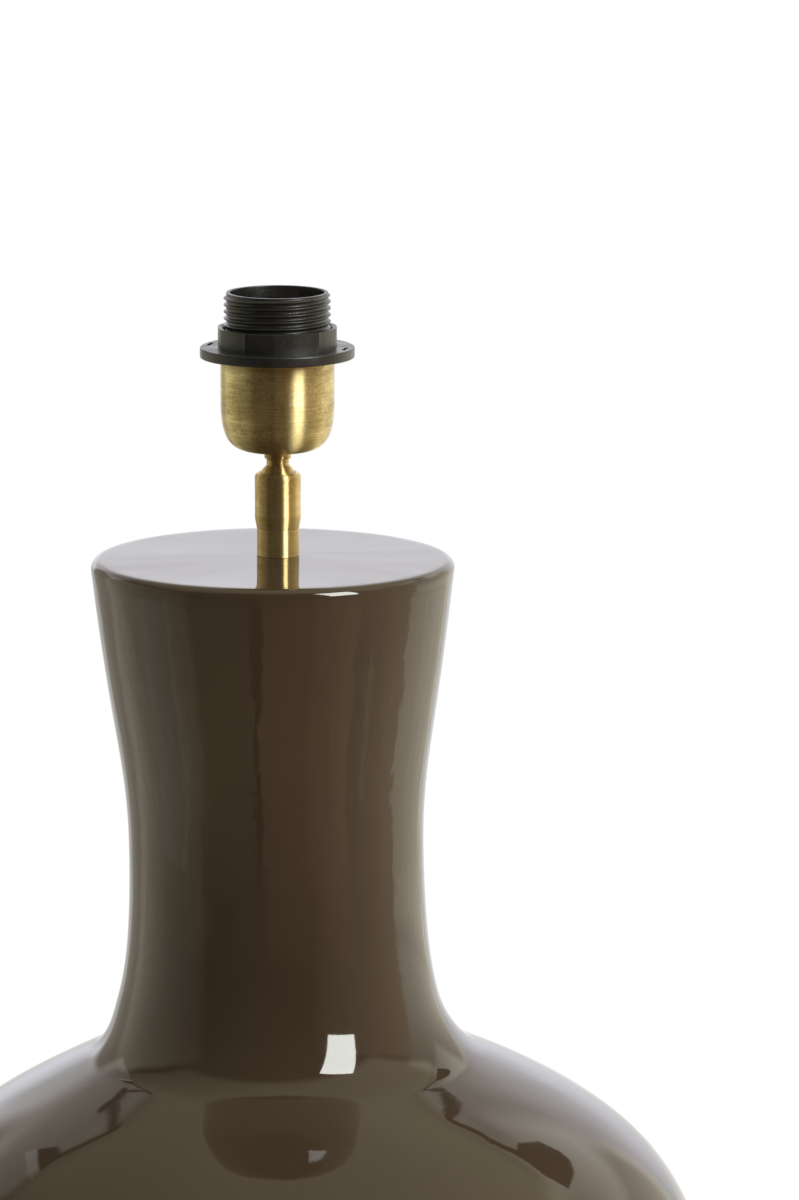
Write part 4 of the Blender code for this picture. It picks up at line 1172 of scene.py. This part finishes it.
def add_lamp(name, turn, lift, distance, size, power, colour, **sees):
    """A flat lamp aimed at the neck, from a turn and lift in degrees."""
    data = bpy.data.lights.new(name, "AREA")
    data.shape = "RECTANGLE"
    data.size, data.size_y = size
    data.energy = power
    data.color = colour
    item = add_object(name, data)
    a, e = math.radians(turn), math.radians(lift)
    way = Vector((math.sin(a) * math.cos(e), -math.cos(a) * math.cos(e), math.sin(e)))
    item.location = LAMP_TARGET + way * distance
    item.rotation_mode = "QUATERNION"
    item.rotation_quaternion = way.to_track_quat("Z", "Y")
    for key, value in sees.items():
        setattr(item, key, value)


def make_lamps():
    """A window on the right that glints in the glaze, and soft light from the right and front."""
    add_lamp("window", 46.8, 31.5, 1.9, (0.62, 1.19), 37, (0.98, 1.0, 0.96), visible_diffuse=False)
    add_lamp("window_soft", 52, 32, 1.9, (1.2, 1.4), 27, (1.0, 0.985, 0.96), visible_glossy=False)
    add_lamp("front_soft", -30, 25, 2.2, (2.2, 2.0), 13, (0.98, 1.0, 1.0), visible_glossy=False)


def make_floor():
    """A pale floor that keeps the lamp's shadow and fades into the white round it."""
    radius, bottom, top, fade = 0.46, -0.004, -0.0001, (0.22, 0.43)
    outline = [(0, bottom), (radius, bottom), (radius, top), (0, top)]
    floor = revolved("floor", outline, FLOOR_STEPS)
    made, tree, shader, place = new_material("pale_floor", Roughness=0.7)
    away = vector(tree, "LENGTH", vector(tree, "MULTIPLY", place, (1, 1, 0)))
    skin = grain(tree, place, size=0.004)
    feed(tree, shader, Base_Color=mixed(tree, skin, rgb(0.84, 0.84, 0.84), rgb(0.88, 0.88, 0.88)))
    seen = add(tree, "ShaderNodeLightPath").outputs["Is Camera Ray"]
    glow = add(tree, "ShaderNodeEmission", {"Color": rgb(1, 1, 1), "Strength": 1.0}).outputs[0]
    share = times(tree, ramp(tree, away, *fade), seen)
    both = add(tree, "ShaderNodeMixShader", {0: share, 1: shader.outputs[0], 2: glow}).outputs[0]
    tree.links.new(both, tree.nodes["Material Output"].inputs["Surface"])
    floor.data.materials.append(made)
    floor.visible_glossy = False


def make_camera():
    """The photograph's view: level with the neck's lower half, and looking a little down."""
    data = bpy.data.cameras.new("camera")
    data.lens = 200
    data.sensor_width = 36
    data.clip_start, data.clip_end = 0.1, 50
    camera = add_object("camera", data)
    pitch, distance = math.radians(10.5), 2.5
    aim = Vector((0.0455, 0, 0.3831))
    camera.location = aim + Vector((0, -math.cos(pitch), math.sin(pitch))) * distance
    camera.rotation_euler = (math.radians(90) - pitch, 0, 0)
    bpy.context.scene.camera = camera


make_vase()
make_foot_pieces()
make_joint()
make_cup()
make_barrel()
make_shade_ring()
make_socket()
make_centre_contact()
dress_hidden_solids()
make_world()
make_lamps()
make_floor()
make_camera()

bpy.context.scene.view_settings.view_transform = "Standard"
